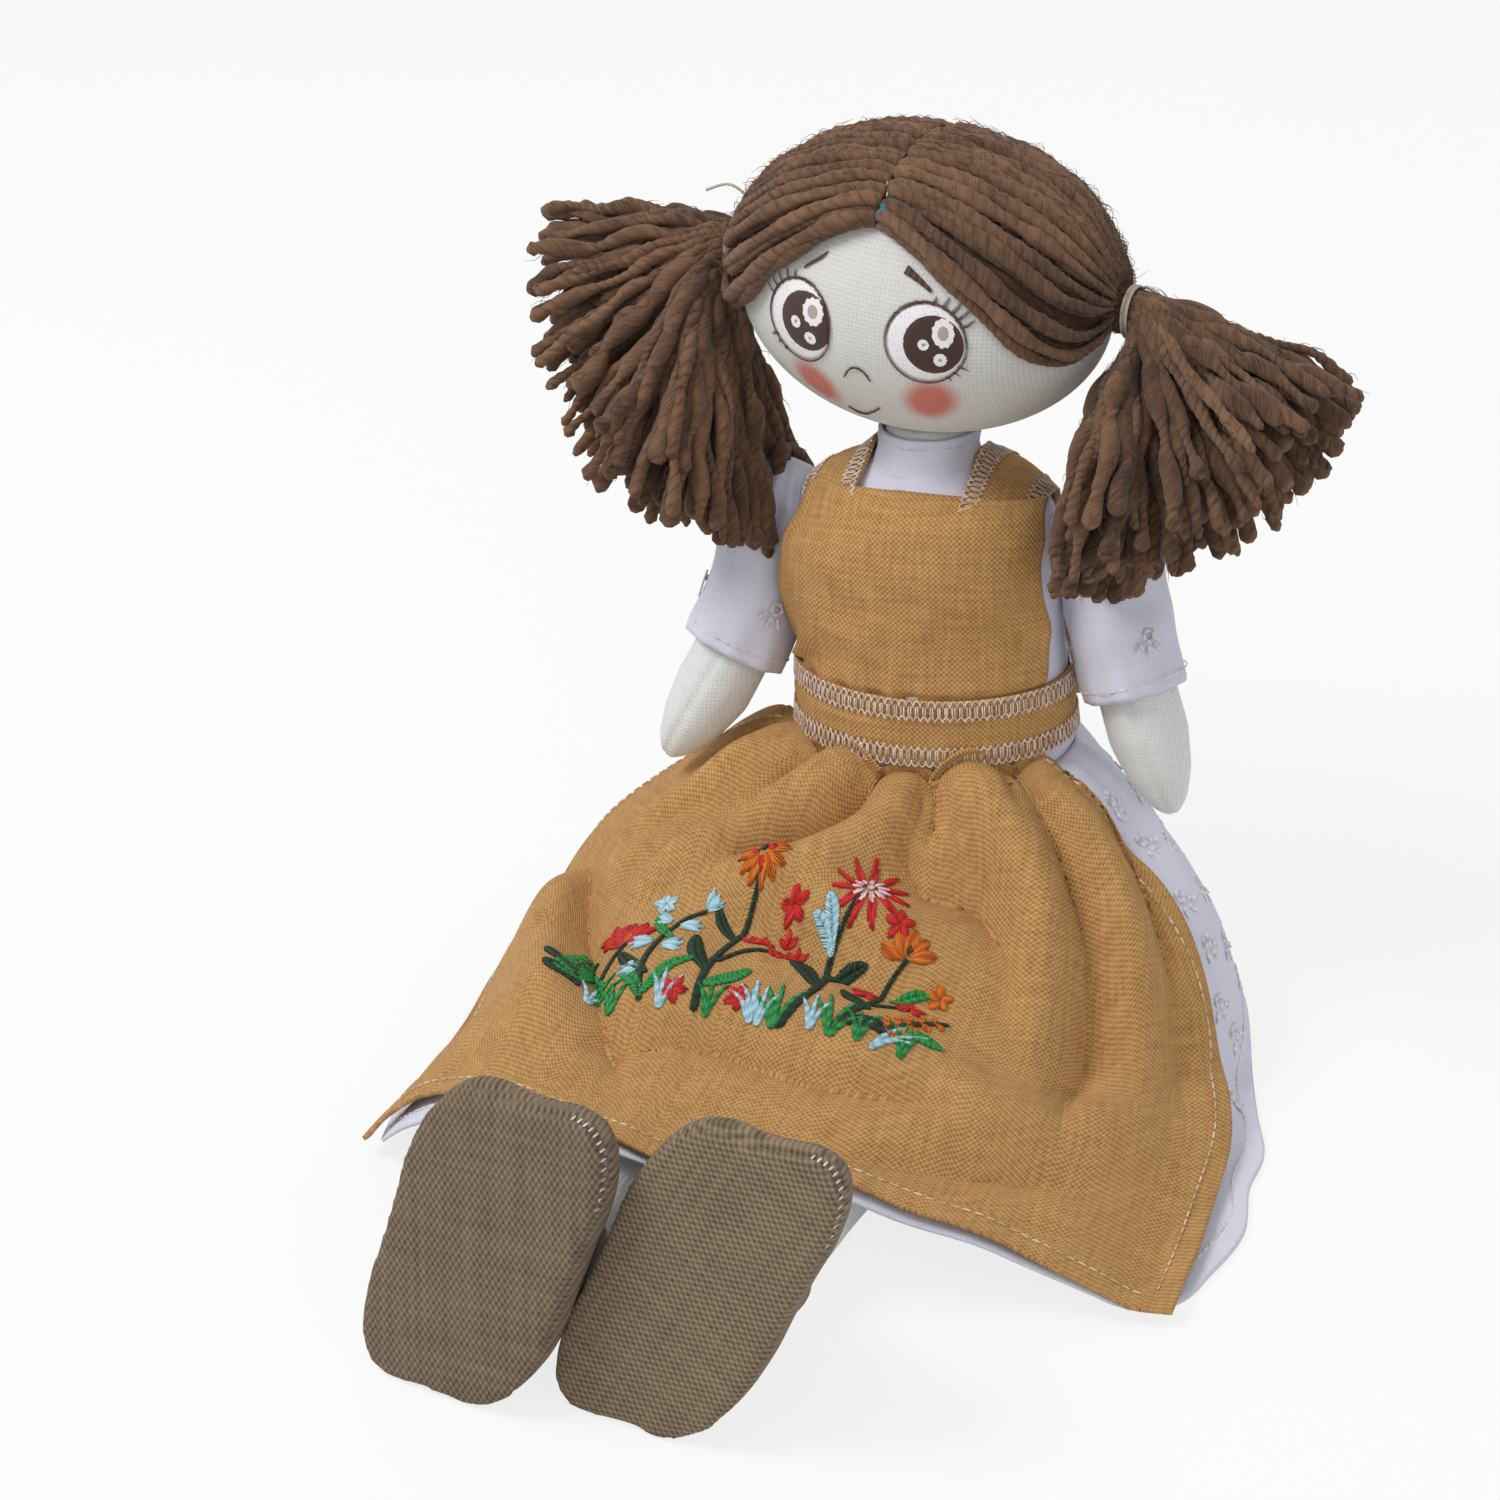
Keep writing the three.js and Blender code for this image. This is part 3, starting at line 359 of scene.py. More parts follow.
def pointsOf(piece):
    co = np.empty(len(piece.data.vertices) * 3, np.float32)
    piece.data.vertices.foreach_get("co", co)
    return co.reshape(-1, 3).astype(float)


def setPoints(piece, points):
    piece.data.vertices.foreach_set("co", np.asarray(points, np.float32).ravel())
    piece.data.update()


def drawnIn(piece, depths):
    # Moves each point in along its normal, by millimetres
    normals = np.empty(len(piece.data.vertices) * 3, np.float32)
    piece.data.vertices.foreach_get("normal", normals)
    normals = normals.reshape(-1, 3).astype(float)
    setPoints(piece, pointsOf(piece) - normals * (depths * mm)[:, None])


def setFlat(piece, flat, seams=0.0):
    # Writes the flat map from one place per point, with what a seam adds at each corner
    mesh = piece.data
    corners = np.empty(len(mesh.loops), np.int32)
    mesh.loops.foreach_get("vertex_index", corners)
    uv = np.asarray(flat)[corners]
    uv[:, 0] += seams
    layer = mesh.uv_layers.active or mesh.uv_layers.new(name="flat")
    layer.data.foreach_set("uv", uv.astype(np.float32).ravel())


def shadeSmooth(piece):
    piece.data.polygons.foreach_set("use_smooth", [True] * len(piece.data.polygons))
    return piece


def newPiece(name, mesh):
    piece = bpy.data.objects.new(name, mesh)
    bpy.context.scene.collection.objects.link(piece)
    return piece


def applied(piece, kind, **settings):
    bpy.context.view_layer.objects.active = piece
    modifier = piece.modifiers.new(kind.lower(), kind)
    for key, value in settings.items():
        setattr(modifier, key, value)
    bpy.ops.object.modifier_apply(modifier=modifier.name)


def flatMap(places):
    # The cloth's flat metres from its arc lengths along both ways of a grid
    u = np.zeros(places.shape[:2])
    v = np.zeros(places.shape[:2])
    u[1:] = np.cumsum(np.linalg.norm(np.diff(places, axis=0), axis=-1), axis=0)
    v[:, 1:] = np.cumsum(np.linalg.norm(np.diff(places, axis=1), axis=-1), axis=1)
    middleU = u.mean(axis=1, keepdims=True) + 0 * u
    return np.stack([middleU, v], -1)


def clothGrid(name, places, flat=None, welded=False):
    # A grid primitive whose points are then put in place, with the cloth's flat map in metres
    rows, columns = places.shape[:2]
    bpy.ops.object.select_all(action="DESELECT")
    bpy.ops.mesh.primitive_grid_add(
        x_subdivisions=rows - 1, y_subdivisions=columns - 1, size=1, calc_uvs=True
    )
    piece = bpy.context.object
    piece.name = piece.data.name = name
    grid = pointsOf(piece)
    i = np.rint((grid[:, 0] + 0.5) * (rows - 1)).astype(int)
    j = np.rint((grid[:, 1] + 0.5) * (columns - 1)).astype(int)
    setPoints(piece, places[i, j])
    setFlat(piece, (flatMap(places) if flat is None else flat)[i, j])
    if welded:
        bpy.ops.object.mode_set(mode="EDIT")
        bpy.ops.mesh.select_all(action="SELECT")
        bpy.ops.mesh.remove_doubles(threshold=0.00002)
        bpy.ops.object.mode_set(mode="OBJECT")
    return shadeSmooth(piece)


def walled(piece, thickness, offset=-1.0):
    # Gives a sheet its wall
    applied(piece, "SOLIDIFY", thickness=thickness * mm, offset=offset, use_even_offset=False)
    return piece


def awayFrom(point):
    return lambda centre: centre - point


def facedOut(piece, outward):
    # Turns a sheet over where its faces look against the way that outward gives at each point
    if sum(outward(face.center).dot(face.normal) for face in piece.data.polygons) < 0:
        piece.data.flip_normals()
    return piece


def dressed(piece, finish, body, slotName, *nodes):
    # Gives a finished piece its material and its body, and hides the CAD nodes that it stands for
    piece.data.materials.clear()
    piece.data.materials.append(finish)
    if body:
        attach(piece, body)
    if nodes:
        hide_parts(*nodes)
    return piece


def sewn(name, places, outward, thickness, finish, body, slotName, *nodes, flat=None, welded=False):
    # A cloth piece: a sheet laid on a grid of places, faced outward and given a wall
    piece = walled(facedOut(clothGrid(name, places, flat, welded), outward), thickness)
    return dressed(piece, finish, body, slotName, *nodes)


def strands(name, paths, radii, sides=8, plies=0.0, pitches=None, tones=None):
    # Tubes along many paths in one mesh. Each cross-section may be two plies that turn along it.
    points, faces, uvs, seams = [], [], [], []
    marks = {"strandTone": [], "girth": [], "plyDepth": []}
    start = 0
    angle = np.arange(sides) / sides * 2 * np.pi
    for k, path in enumerate(paths):
        path = np.asarray(path, float)
        count = len(path)
        tangent = unit(np.gradient(path, axis=0), 1e-12)
        side = np.zeros_like(path)
        guide = np.array([0.13, 0.31, 0.94])
        if abs(tangent[0] @ guide) > 0.8:
            guide = np.array([0.9, 0.3, -0.2])
        side[0] = unit(np.cross(tangent[0], guide))
        for i in range(1, count):
            side[i] = unit(side[i - 1] - tangent[i] * (side[i - 1] @ tangent[i]), 1e-9)
        up = np.cross(tangent, side)
        length = lengthsAlong(path)
        radius = np.asarray(radii[k], float) * np.ones(count)
        twist = np.zeros(count)
        if pitches is not None:
            pitch = np.asarray(pitches[k], float) * np.ones(count)
            twist[1:] = np.cumsum(2 * np.pi * np.diff(length) / pitch[1:])
            twist += k * 1.7
        depth = np.asarray(plies[k] if isinstance(plies, list) else plies) * np.ones(count)
        lobe = 1 + 0.6 * depth[:, None] * np.cos(2 * (angle[None, :] - twist[:, None]))
        r = radius[:, None] * lobe
        ring = (
            path[:, None, :]
            + side[:, None, :] * (r * np.cos(angle))[..., None]
            + up[:, None, :] * (r * np.sin(angle))[..., None]
        )
        points.append(np.concatenate([ring.reshape(-1, 3), path[:1], path[-1:]]))
        rows = np.arange(count - 1)[:, None] * sides
        a, b = rows + np.arange(sides), rows + (np.arange(sides) + 1) % sides
        faces += (np.stack([a, b, b + sides, a + sides], axis=-1).reshape(-1, 4) + start).tolist()
        first = start + count * sides
        lastRing = first - sides
        for s in range(sides):
            n = (s + 1) % sides
            faces.append([first, start + n, start + s])
            faces.append([first + 1, lastRing + s, lastRing + n])
        girth = radius.mean()
        seam = np.zeros((count - 1, sides, 4))
        seam[:, sides - 1, 1:3] = 2 * np.pi * girth
        seams += [seam.ravel(), np.zeros(sides * 6)]
        around = (angle[None, :] - twist[:, None]) * girth
        along = np.broadcast_to(length[:, None], (count, sides))
        uv = np.stack([around, along + k * 0.037], axis=-1).reshape(-1, 2)
        uvs.append(np.concatenate([uv, uv[:1], uv[-1:]]))
        total = len(points[-1])
        marks["strandTone"].append(np.full(total, 0.5 if tones is None else tones[k]))
        marks["girth"].append(np.full(total, girth))
        shown = depth if pitches is not None else 0 * depth
        marks["plyDepth"].append(np.concatenate([np.repeat(shown, sides), shown[:1], shown[-1:]]))
        start += total
    mesh = bpy.data.meshes.new(name)
    mesh.from_pydata(np.concatenate(points).tolist(), [], faces)
    piece = newPiece(name, mesh)
    setFlat(piece, np.concatenate(uvs), np.concatenate(seams))
    for label, values in marks.items():
        attribute = mesh.attributes.new(label, "FLOAT", "POINT")
        attribute.data.foreach_set("value", np.concatenate(values).astype(np.float32))
    return shadeSmooth(piece)


def fuzz(name, paths, radii, count, seed, body):
    # Loose wool fibres that stand off the strands
    random = np.random.RandomState(seed)
    fibres = []
    weights = np.array([len(path) for path in paths], float)
    for k in random.choice(len(paths), count, p=weights / weights.sum()):
        path, radius = paths[k], radii[k]
        i = random.randint(3, len(path) - 3)
        tangent = unit(path[i + 1] - path[i]) * random.choice((-1, 1))
        out = unit(np.cross(tangent, random.normal(size=3)))
        long, high = random.uniform(2.0, 5.0) * mm, random.uniform(0.3, 1.6) * mm
        side = np.cross(tangent, out) * random.uniform(-1, 1)
        start = path[i] + out * radius[i] * 0.8
        ahead = start + tangent * long * 0.5 + out * high
        end = start + tangent * long + out * high * random.uniform(0.1, 1.2) + side * long * 0.4
        fibres.append(np.array([start, (start + ahead) / 2 + out * high * 0.15, ahead, end]))
    sizes = [np.array([0.1, 0.09, 0.07, 0.04]) * mm] * count
    return dressed(strands(name, fibres, sizes, 3), yarn, body, "yarn")


def softCopy(name, nodes, voxel=1.2, rounds=14):
    # A stuffed piece: a copy of its CAD solids, made one skin and smoothed as filled cloth is
    joined = bmesh.new()
    for node in nodes:
        joined.from_mesh(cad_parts[node].data)
    bmesh.ops.remove_doubles(joined, verts=joined.verts, dist=1e-6)
    mesh = bpy.data.meshes.new(name)
    joined.to_mesh(mesh)
    joined.free()
    piece = newPiece(name, mesh)
    bpy.ops.object.select_all(action="DESELECT")
    piece.select_set(True)
    applied(piece, "REMESH", mode="VOXEL", voxel_size=voxel * mm)
    applied(piece, "SMOOTH", factor=0.5, iterations=rounds)
    return shadeSmooth(piece)


# Stuffed body, arms and legs

bodyRows = [
    [-8, 31, 23], [4, 37, 29], [20, 40, 31], [44, 37, 29], [72, 32, 25.5], [84, 31.5, 25], [104, 30.5, 22.5],
    [121, 31, 21], [130, 28, 19], [134, 22, 16], [137.5, 13.5, 11.5], [141, 10.5, 10],
]


def bodyPoint(height, angle, offset):
    # A place on the torso in the leaning frame, stood off from its skin
    halves = splineRead(bodyRows, height)
    rise = offset * np.clip((np.asarray(height) - 124) / 10, 0, 1)
    x = (halves[..., 0] + offset) * np.cos(angle)
    y = (halves[..., 1] + offset) * np.sin(angle)
    return np.stack([x, y, np.asarray(height) + rise], axis=-1)


stuffed = {"fill": 0.9, "bodyVoxel": 1.6, "limbVoxel": 1.1}
for node in ("torso", "neck", "leg_left", "leg_right"):
    body = "torso" if node == "neck" else node
    piece = softCopy(node + "_stuffed", [node], stuffed["bodyVoxel" if node == "torso" else "limbVoxel"])
    dressed(piece, bodyCotton, body, "cotton", node)
print("torso and legs stuffed")

# Both arms hang from the shoulder thread and bend outwards
arms = {
    "left": {"side": 1, "outward": 14, "bend": 6, "forward": 8},
    "right": {"side": -1, "outward": 9, "bend": 24, "forward": 21},
    "shoulder": (41.0, 6.0, 120.0),
    "length": 69.0,
    "innerSide": 33.2,
    "seamDepth": 0.55,
    "seamWidth": 0.8,
}


def armFrame(arm, level):
    # The frame of the arm's middle line at one level below the shoulder
    steps = 40
    middle = Vector((0, 0, 0))
    for i in range(steps):
        share = smooth((i + 0.5) / steps * level / arms["length"])
        outward = arm["outward"] + arm["bend"] * share
        turn = turned("X", -arm["forward"]) @ turned("Y", -arm["side"] * outward)
        middle += turn @ Vector((0, 0, -level / steps))
    return Matrix.Translation(middle) @ turn.to_3x3().to_4x4()


def shoulderPlace(arm):
    x, y, z = arms["shoulder"]
    return upperPlace @ Matrix.Translation((arm["side"] * x, y, z))


for name in ("left", "right"):
    arm = arms[name]
    piece = softCopy("arm_" + name + "_stuffed", ["arm_" + name], stuffed["limbVoxel"])
    points = placed(pointsOf(piece) / mm, shoulderPlace(arm).inverted())
    levels = np.linspace(1, arms["length"] - 1, 46)
    places = [armFrame(arm, level) for level in levels]
    centres = np.array([p.translation for p in places])
    nearest = np.argmin(np.linalg.norm(points[:, None, :] - centres[None], axis=2), axis=1)
    sideways = np.array([p.to_3x3() @ Vector((1, 0, 0)) for p in places])
    forwards = np.array([p.to_3x3() @ Vector((0, -1, 0)) for p in places])
    away = points - centres[nearest]
    offSeam = np.einsum("ij,ij->i", away, sideways[nearest])
    front = np.einsum("ij,ij->i", away, forwards[nearest]) > 0
    drawnIn(piece, arms["seamDepth"] * np.exp(-(offSeam / arms["seamWidth"]) ** 2) * front)
    dressed(piece, bodyCotton, "arm_" + name, "cotton", "arm_" + name)
print("arms stuffed")


# Shoes: knit uppers gathered over a flat sole, with the seam drawn in between

shoes = {
    "left": {"side": 1, "length": 126, "aim": -4.6, "sag": 0.34},
    "right": {"side": -1, "length": 132, "aim": -7.0, "sag": 0.22},
    "hip": (20.2, -24.0, 20.0),
    "shoeDepth": 34.0,
    "soleMiddle": 36.6,
    "soleLean": 14.0,
    "seamDepth": 1.5,
    "seamLevel": 0.4,
    "square": 0.11,
    "stitchesFrom": 24,
    "stitchesTo": 66,
    "stitches": 13,
    "stitchReach": 0.9,
}


def shoePlace(shoe):
    x, y, z = shoes["hip"]
    sheared = Matrix(((1, 0, shoe["sag"], 0), (0, 1, 0, 0), (0, 0, 1, 0), (0, 0, 0, 1)))
    return (
        floorPlace
        @ Matrix.Translation((shoe["side"] * x, y, z))
        @ turned("Z", shoe["aim"])
        @ Matrix.Translation((0, -shoe["length"] - shoes["shoeDepth"], shoes["soleMiddle"] - z))
        @ turned("X", -shoes["soleLean"])
        @ sheared
    )


for name, finish in shoeKnits.items():
    nodes = ["shoe_upper_" + name, "insole_" + name, "shoe_sole_" + name]
    piece = softCopy("shoe_" + name, nodes, 1.0, 26)
    place = shoePlace(shoes[name])
    # The soles are squarer than an oval, as two flat pieces sewn edge to edge draw their corners out
    local = placed(pointsOf(piece) / mm, place.inverted())
    low, high = local.min(axis=0), local.max(axis=0)
    middle = (low + high) / 2
    half = (high - low) / 2
    around = np.arctan2((local[:, 2] - middle[2]) / half[2], (local[:, 0] - middle[0]) / half[0])
    nearSole = smooth((middle[1] + 4 - local[:, 1]) / 16)
    square = 1 + shoes["square"] * (0.5 - 0.5 * np.cos(4 * around)) * nearSole
    for axis in (0, 2):
        local[:, axis] = middle[axis] + (local[:, axis] - middle[axis]) * square
    setPoints(piece, moved(local, place))
    fromSeam = placed(pointsOf(piece) / mm, place.inverted())[:, 1] - shoes["seamLevel"]
    drawnIn(piece, shoes["seamDepth"] * np.exp(-fromSeam ** 2))
    dressed(piece, finish, "leg_" + name, "shoe_knit", *nodes)
    # White stitches that show at the toe's outer corner of the seam
    centre = Vector(place @ Vector((middle[0], 0.6, middle[2]))) * mm
    turnOnly = place.to_3x3()
    paths = []
    for k in range(shoes["stitches"]):
        share = (k + 0.5) / shoes["stitches"]
        at = math.radians(shoes["stitchesFrom"] + (shoes["stitchesTo"] - shoes["stitchesFrom"]) * share)
        ends = []
        for shift in (-shoes["stitchReach"], shoes["stitchReach"]):
            way = Vector((math.cos(at) * half[0], shift * 0.7, math.sin(at) * half[2])).normalized()
            _, found, outward, _ = piece.ray_cast(centre, turnOnly @ way)
            ends.append(np.array(found + outward * 0.15 * mm + turnOnly @ Vector((0, shift, 0)) * mm))
        paths.append(np.array([ends[0], (ends[0] + ends[1]) / 2, ends[1]]))
    radii = [np.array([0.18, 0.28, 0.18]) * mm] * len(paths)
    dressed(strands("shoe_stitches_" + name, paths, radii, 6), hemWhite, "leg_" + name, None)
print("shoes knitted")


# Head and face

def wander(random, count, size, waves=4):
    # A smooth random wave along a strand
    t = np.linspace(0, 1, count)
    total = np.zeros(count)
    for k in range(1, waves + 1):
        high = random.uniform(-1, 1) / k
        total += high * np.sin(2 * np.pi * (k * t * random.uniform(0.7, 1.3) + random.uniform()))
    return total * size


headShape = {"halfWidth": 46.0, "halfDepth": 32.5, "halfTall": 33.5, "segments": 144, "rings": 96}


def onHead(directions, offset=0.0):
    # Places on the head in its own frame, in some directions, stood off from its skin
    d = unit(np.asarray(directions, float))
    down = np.maximum(0, -d[..., 2])
    cheek = 1 + 0.05 * down * (1 - down)
    return np.stack([
        d[..., 0] * (headShape["halfWidth"] * cheek + offset),
        d[..., 1] * (headShape["halfDepth"] + offset),
        d[..., 2] * (headShape["halfTall"] + offset),
    ], axis=-1)


def faceDirection(turn, tilt):
    # A direction on the head from degrees round from the nose line and up from level
    t, u = np.radians(turn), np.radians(tilt)
    return np.stack([np.sin(t) * np.cos(u), -np.cos(t) * np.cos(u), np.sin(u)], axis=-1)


bpy.ops.object.select_all(action="DESELECT")
bpy.ops.mesh.primitive_uv_sphere_add(
    segments=headShape["segments"], ring_count=headShape["rings"], radius=1
)
head = shadeSmooth(bpy.context.object)
head.name = "head_stuffed"
ball = pointsOf(head)
setPoints(head, moved(onHead(ball), headPlace))
turns = np.degrees(np.arctan2(ball[:, 0], -ball[:, 1])) / 100
tilts = np.degrees(np.arcsin(np.clip(ball[:, 2], -1, 1))) / 100
setFlat(head, np.stack([turns, tilts], 1))


def ovalNodes(tree, split, x, y, wide, tall):
    # How far a place lies out from an oval's middle, 1 at its edge, and its shares each way
    a, b = [
        calc(tree, "DIVIDE", calc(tree, "SUBTRACT", split.outputs[i], middle), half)
        for i, middle, half in ((0, x, wide), (1, y, tall))
    ]
    squares = calc(tree, "ADD", calc(tree, "POWER", a, 2.0), calc(tree, "POWER", b, 2.0))
    return calc(tree, "SQRT", squares), a, b


# The cheeks are rubbed with coral colour: soft ovals in the face's own degrees
faceCotton = clothFinish(
    "cotton undyed face cloth", "#e2e2df", "#c3c2bd", 1.0, fromUv=False, axes=("X", "Z"), turn=(0, 0, 8),
    slub=0.1, weaveShade=0.5, bump=0.35, roughness=0.88
)
cheeks = {"colour": "#f08b7d", "spots": ((-23.3, -33.0, 10.8, 13.5), (21.4, -31.0, 11.0, 14.0))}
faceTree = faceCotton.node_tree
faceColour = faceTree.nodes["Principled BSDF"].inputs["Base Color"]
faceMap = addNode(faceTree, "ShaderNodeTexCoord").outputs["UV"]
faceSplit = addNode(faceTree, "ShaderNodeSeparateXYZ", links={0: faceMap})
blush = 0.0
for spot in cheeks["spots"]:
    reach = ovalNodes(faceTree, faceSplit, *(measure / 100 for measure in spot))[0]
    soft = addNode(
        faceTree, "ShaderNodeMapRange", {"From Min": 1.15, "From Max": 0.45}, {"Value": reach},
        interpolation_type="SMOOTHSTEP"
    ).outputs[0]
    blush = calc(faceTree, "ADD", blush, soft)
clothColour = faceColour.links[0].from_socket
rubbed = mixColours(faceTree, 1.0, clothColour, linear(cheeks["colour"]), "MULTIPLY")
faceTree.links.new(mixColours(faceTree, blush, clothColour, rubbed), faceColour)
dressed(head, faceCotton, "head", "cotton", "head")

# Eyes: satin stitched patches with a dark iris and white lights, ringed by a stitched line
eyes = {
    "left": {
        "turn": 19.4, "tilt": -2.8, "wide": 11.7, "tall": 16.2, "iris": (0.2, 0.0, 0.77, 0.74),
        "lights": ((0.44, 0.32, 0.28, 0.36), (-0.06, 0.0, 0.14, 0.14), (0.37, -0.36, 0.17, 0.17)),
    },
    "right": {
        "turn": -22.8, "tilt": -3.2, "wide": 11.9, "tall": 16.6, "iris": (0.27, 0.05, 0.79, 0.74),
        "lights": ((0.52, 0.34, 0.31, 0.34), (-0.03, -0.02, 0.16, 0.15), (0.42, -0.34, 0.18, 0.15)),
    },
    "lift": 0.12,
    "crown": 0.4,
    "rings": 14,
    "around": 64,
    "thickness": 0.5,
}


def eyeFinish(name, eye):
    finish, tree, shader = newFinish("thread satin stitch " + name + " eye", 0.55, 0.2)
    place = addNode(tree, "ShaderNodeTexCoord").outputs["UV"]
    rough = addNode(tree, "ShaderNodeTexNoise", {"Scale": 26.0, "Detail": 2.0}, {"Vector": place})
    split = addNode(tree, "ShaderNodeSeparateXYZ", links={0: place})

    def insideOval(x, y, wide, tall, ragged=0.1, petals=0.0):
        reach, a, b = ovalNodes(tree, split, x, y, wide, tall)
        if petals:
            turn = calc(tree, "MULTIPLY", calc(tree, "ARCTAN2", a, b), petals)
            reach = calc(tree, "MULTIPLY_ADD", calc(tree, "SINE", turn), 0.05, reach)
        reach = calc(tree, "SUBTRACT", reach, ragged / 2)
        reach = calc(tree, "MULTIPLY_ADD", rough.outputs["Fac"], ragged, reach)
        return calc(tree, "LESS_THAN", reach, 1.0)

    dotted = addNode(tree, "ShaderNodeTexVoronoi", {"Scale": 17.0}, {"Vector": place})
    inDot = calc(tree, "LESS_THAN", dotted.outputs["Distance"], 0.25)
    colourNow = mixColours(tree, inDot, linear("#f4f1f4"), linear("#cfc8cd"))
    x, y, wide, tall = eye["iris"]
    irisRim = insideOval(x, y, wide * 0.84, tall * 0.84, 0.3)
    irisColour = mixColours(tree, irisRim, linear("#432420"), linear("#3b1d19"))
    colourNow = mixColours(tree, insideOval(*eye["iris"]), colourNow, irisColour)
    for x, y, wide, tall in eye["lights"]:
        inner = 0.5 if wide > 0.25 else 0.3
        middle = insideOval(x, y, wide * inner, tall * inner, 0.3)
        lightColour = mixColours(tree, middle, linear("#f4f0f3"), linear("#b3a3a0"))
        colourNow = mixColours(tree, insideOval(x, y, wide, tall, 0.3, 11.0), colourNow, lightColour)
    tree.links.new(colourNow, shader.inputs["Base Color"])
    threads = addNode(
        tree, "ShaderNodeTexWave", {"Scale": 9.0, "Distortion": 2.5, "Detail": 1.0, "Detail Scale": 2.0},
        {"Vector": place}, wave_type="BANDS", bands_direction="Y"
    )
    addBump(tree, shader, threads.outputs["Fac"], 0.5, 0.15)
    return finish


def eyeSpot(eye, a, b, offset):
    # A place on an eye from -1 to 1 across and up
    turn, tilt = eye["turn"] + a * eye["wide"], eye["tilt"] + b * eye["tall"]
    return moved(onHead(faceDirection(turn, tilt), offset), headPlace)


headMiddle = headPlace.translation * mm
for name in ("left", "right"):
    eye = eyes[name]
    share = np.linspace(0.02, 1, eyes["rings"])[:, None]
    angle = np.linspace(0, 2 * np.pi, eyes["around"])[None, :]
    a, b = share * np.cos(angle), share * np.sin(angle)
    offset = eyes["lift"] + eyes["crown"] * (1 - share ** 6) + 0 * angle
    places = np.array([
        [eyeSpot(eye, *spot) for spot in zip(*row)] for row in zip(a, b, offset)
    ])
    sewn("eye_" + name + "_stitched", places, awayFrom(headMiddle), eyes["thickness"], eyeFinish(name, eye),
         "head", "eye_thread", "eye_" + name, flat=np.stack([a, b], -1), welded=True)


def faceLines(name, lines, radii):
    # Stitched lines on the face through places in degrees
    paths = [moved(onHead(faceDirection(p[:, 0], p[:, 1]), 0.35), headPlace) for p in lines]
    piece = strands(name, paths, [np.asarray(r) * mm for r in radii], sides=6)
    dressed(piece, browThread, "head", "eye_thread")


def roundEye(eye, angle, scale=1.0):
    # Places on an oval round an eye, in degrees on the face
    across, up = eye["wide"] * scale * np.cos(angle), eye["tall"] * scale * np.sin(angle)
    return np.stack([eye["turn"] + across, eye["tilt"] + up], -1)


features = {
    "brows": (((-22.4, 19.0), (-19.4, 22.2), (-16.2, 25.6)), ((12.8, 25.6), (16.8, 22.4), (21.0, 18.2))),
    "nose": ((-7.6, -23.4), (-5.6, -19.6), (-2.9, -17.6), (-0.4, -19.0), (1.4, -23.2)),
    "mouth": ((-14.2, -44.0), (-11.6, -47.4), (-7.4, -47.6), (-2.6, -44.0), (1.9, -39.6)),
    "lashes": ((28, 4.6), (40, 5.2), (52, 4.8), (66, 3.8), (80, 2.6), (-32, 3.6), (-44, 3.0), (-56, 2.2)),
}
random = np.random.RandomState(11)
lines, radii = [], []
for ends, thicknesses in zip(features["brows"], ((0.45, 1.0), (1.0, 0.35))):
    line = curved(ends, 24)
    wide = np.linspace(*thicknesses, 24)
    for i in range(0, 23):
        # Short slanting stitches make each brow
        slant = np.array([0.7, 1.7]) * wide[i]
        lines.append(np.array([line[i] - slant, line[i] + slant * 0.2, line[i] + slant]))
        radii.append([0.16, 0.26, 0.14])
for key, size in (("nose", 0.24), ("mouth", 0.26)):
    line = curved(features[key], 40)
    taper = 0.55 + 0.45 * np.sin(np.linspace(0.15, np.pi - 0.15, 40))
    lines.append(line)
    radii.append(size * taper)
    for i in range(1, 39, 2):
        jitter = random.uniform(-0.5, 0.5, (2, 2))
        lines.append(np.array([line[i] + jitter[0], line[i + 1] + jitter[1]]))
        radii.append([0.18, 0.14])
faceLines("brows_nose_mouth", lines, radii)

lines, radii = [], []
for name, outer in (("left", 1), ("right", -1)):
    eye = eyes[name]
    ring = np.linspace(0, 2 * np.pi, 90)
    base = roundEye(eye, ring, 1.03)
    for shift in (0.0, 0.45):
        drift = np.stack([wander(random, 90, 0.16, 5), wander(random, 90, 0.16, 5)], 1)
        lines.append(base + shift * np.stack([np.cos(ring), np.sin(ring)], 1) + drift)
        radii.append(0.09 + 0.07 * np.clip(np.sin(ring), 0, 1))
    for _ in range(130):
        angle = random.uniform(0, 2 * np.pi)
        heavy = 0.5 + 0.9 * max(0, math.sin(angle))
        at = roundEye(eye, angle, 1.03)
        out = np.array([math.cos(angle + 0.9 * outer), math.sin(angle + 0.9 * outer)])
        lines.append(np.array([at - out * 0.5 * heavy, at + out * heavy]))
        radii.append([0.09, 0.05])
    # Lashes fan out from the outer corner, long above and short below
    for angle, long in features["lashes"]:
        start = roundEye(eye, math.radians(angle if outer > 0 else 180 - angle))
        lean = math.radians(angle * 0.8)
        rise = math.sin(lean) * 1.1 + (0.25 if angle > 0 else 0)
        end = start + long * np.array([outer * math.cos(lean), rise])
        bend = (start + end) / 2 + np.array([0.0, -0.5 if angle > 0 else 0.3])
        for spread in (-0.35, 0.0, 0.3):
            apart = np.array([spread, -spread])
            lines.append(curved((start + apart * 0.6, bend + apart, end + apart * 0.5), 8))
            radii.append(np.linspace(0.17, 0.05, 8))
faceLines("eye_lines_lashes", lines, radii)
print("face stitched")


# Hair: two layers of thick and thin yarn laid from the parting to each tie, over a thin base

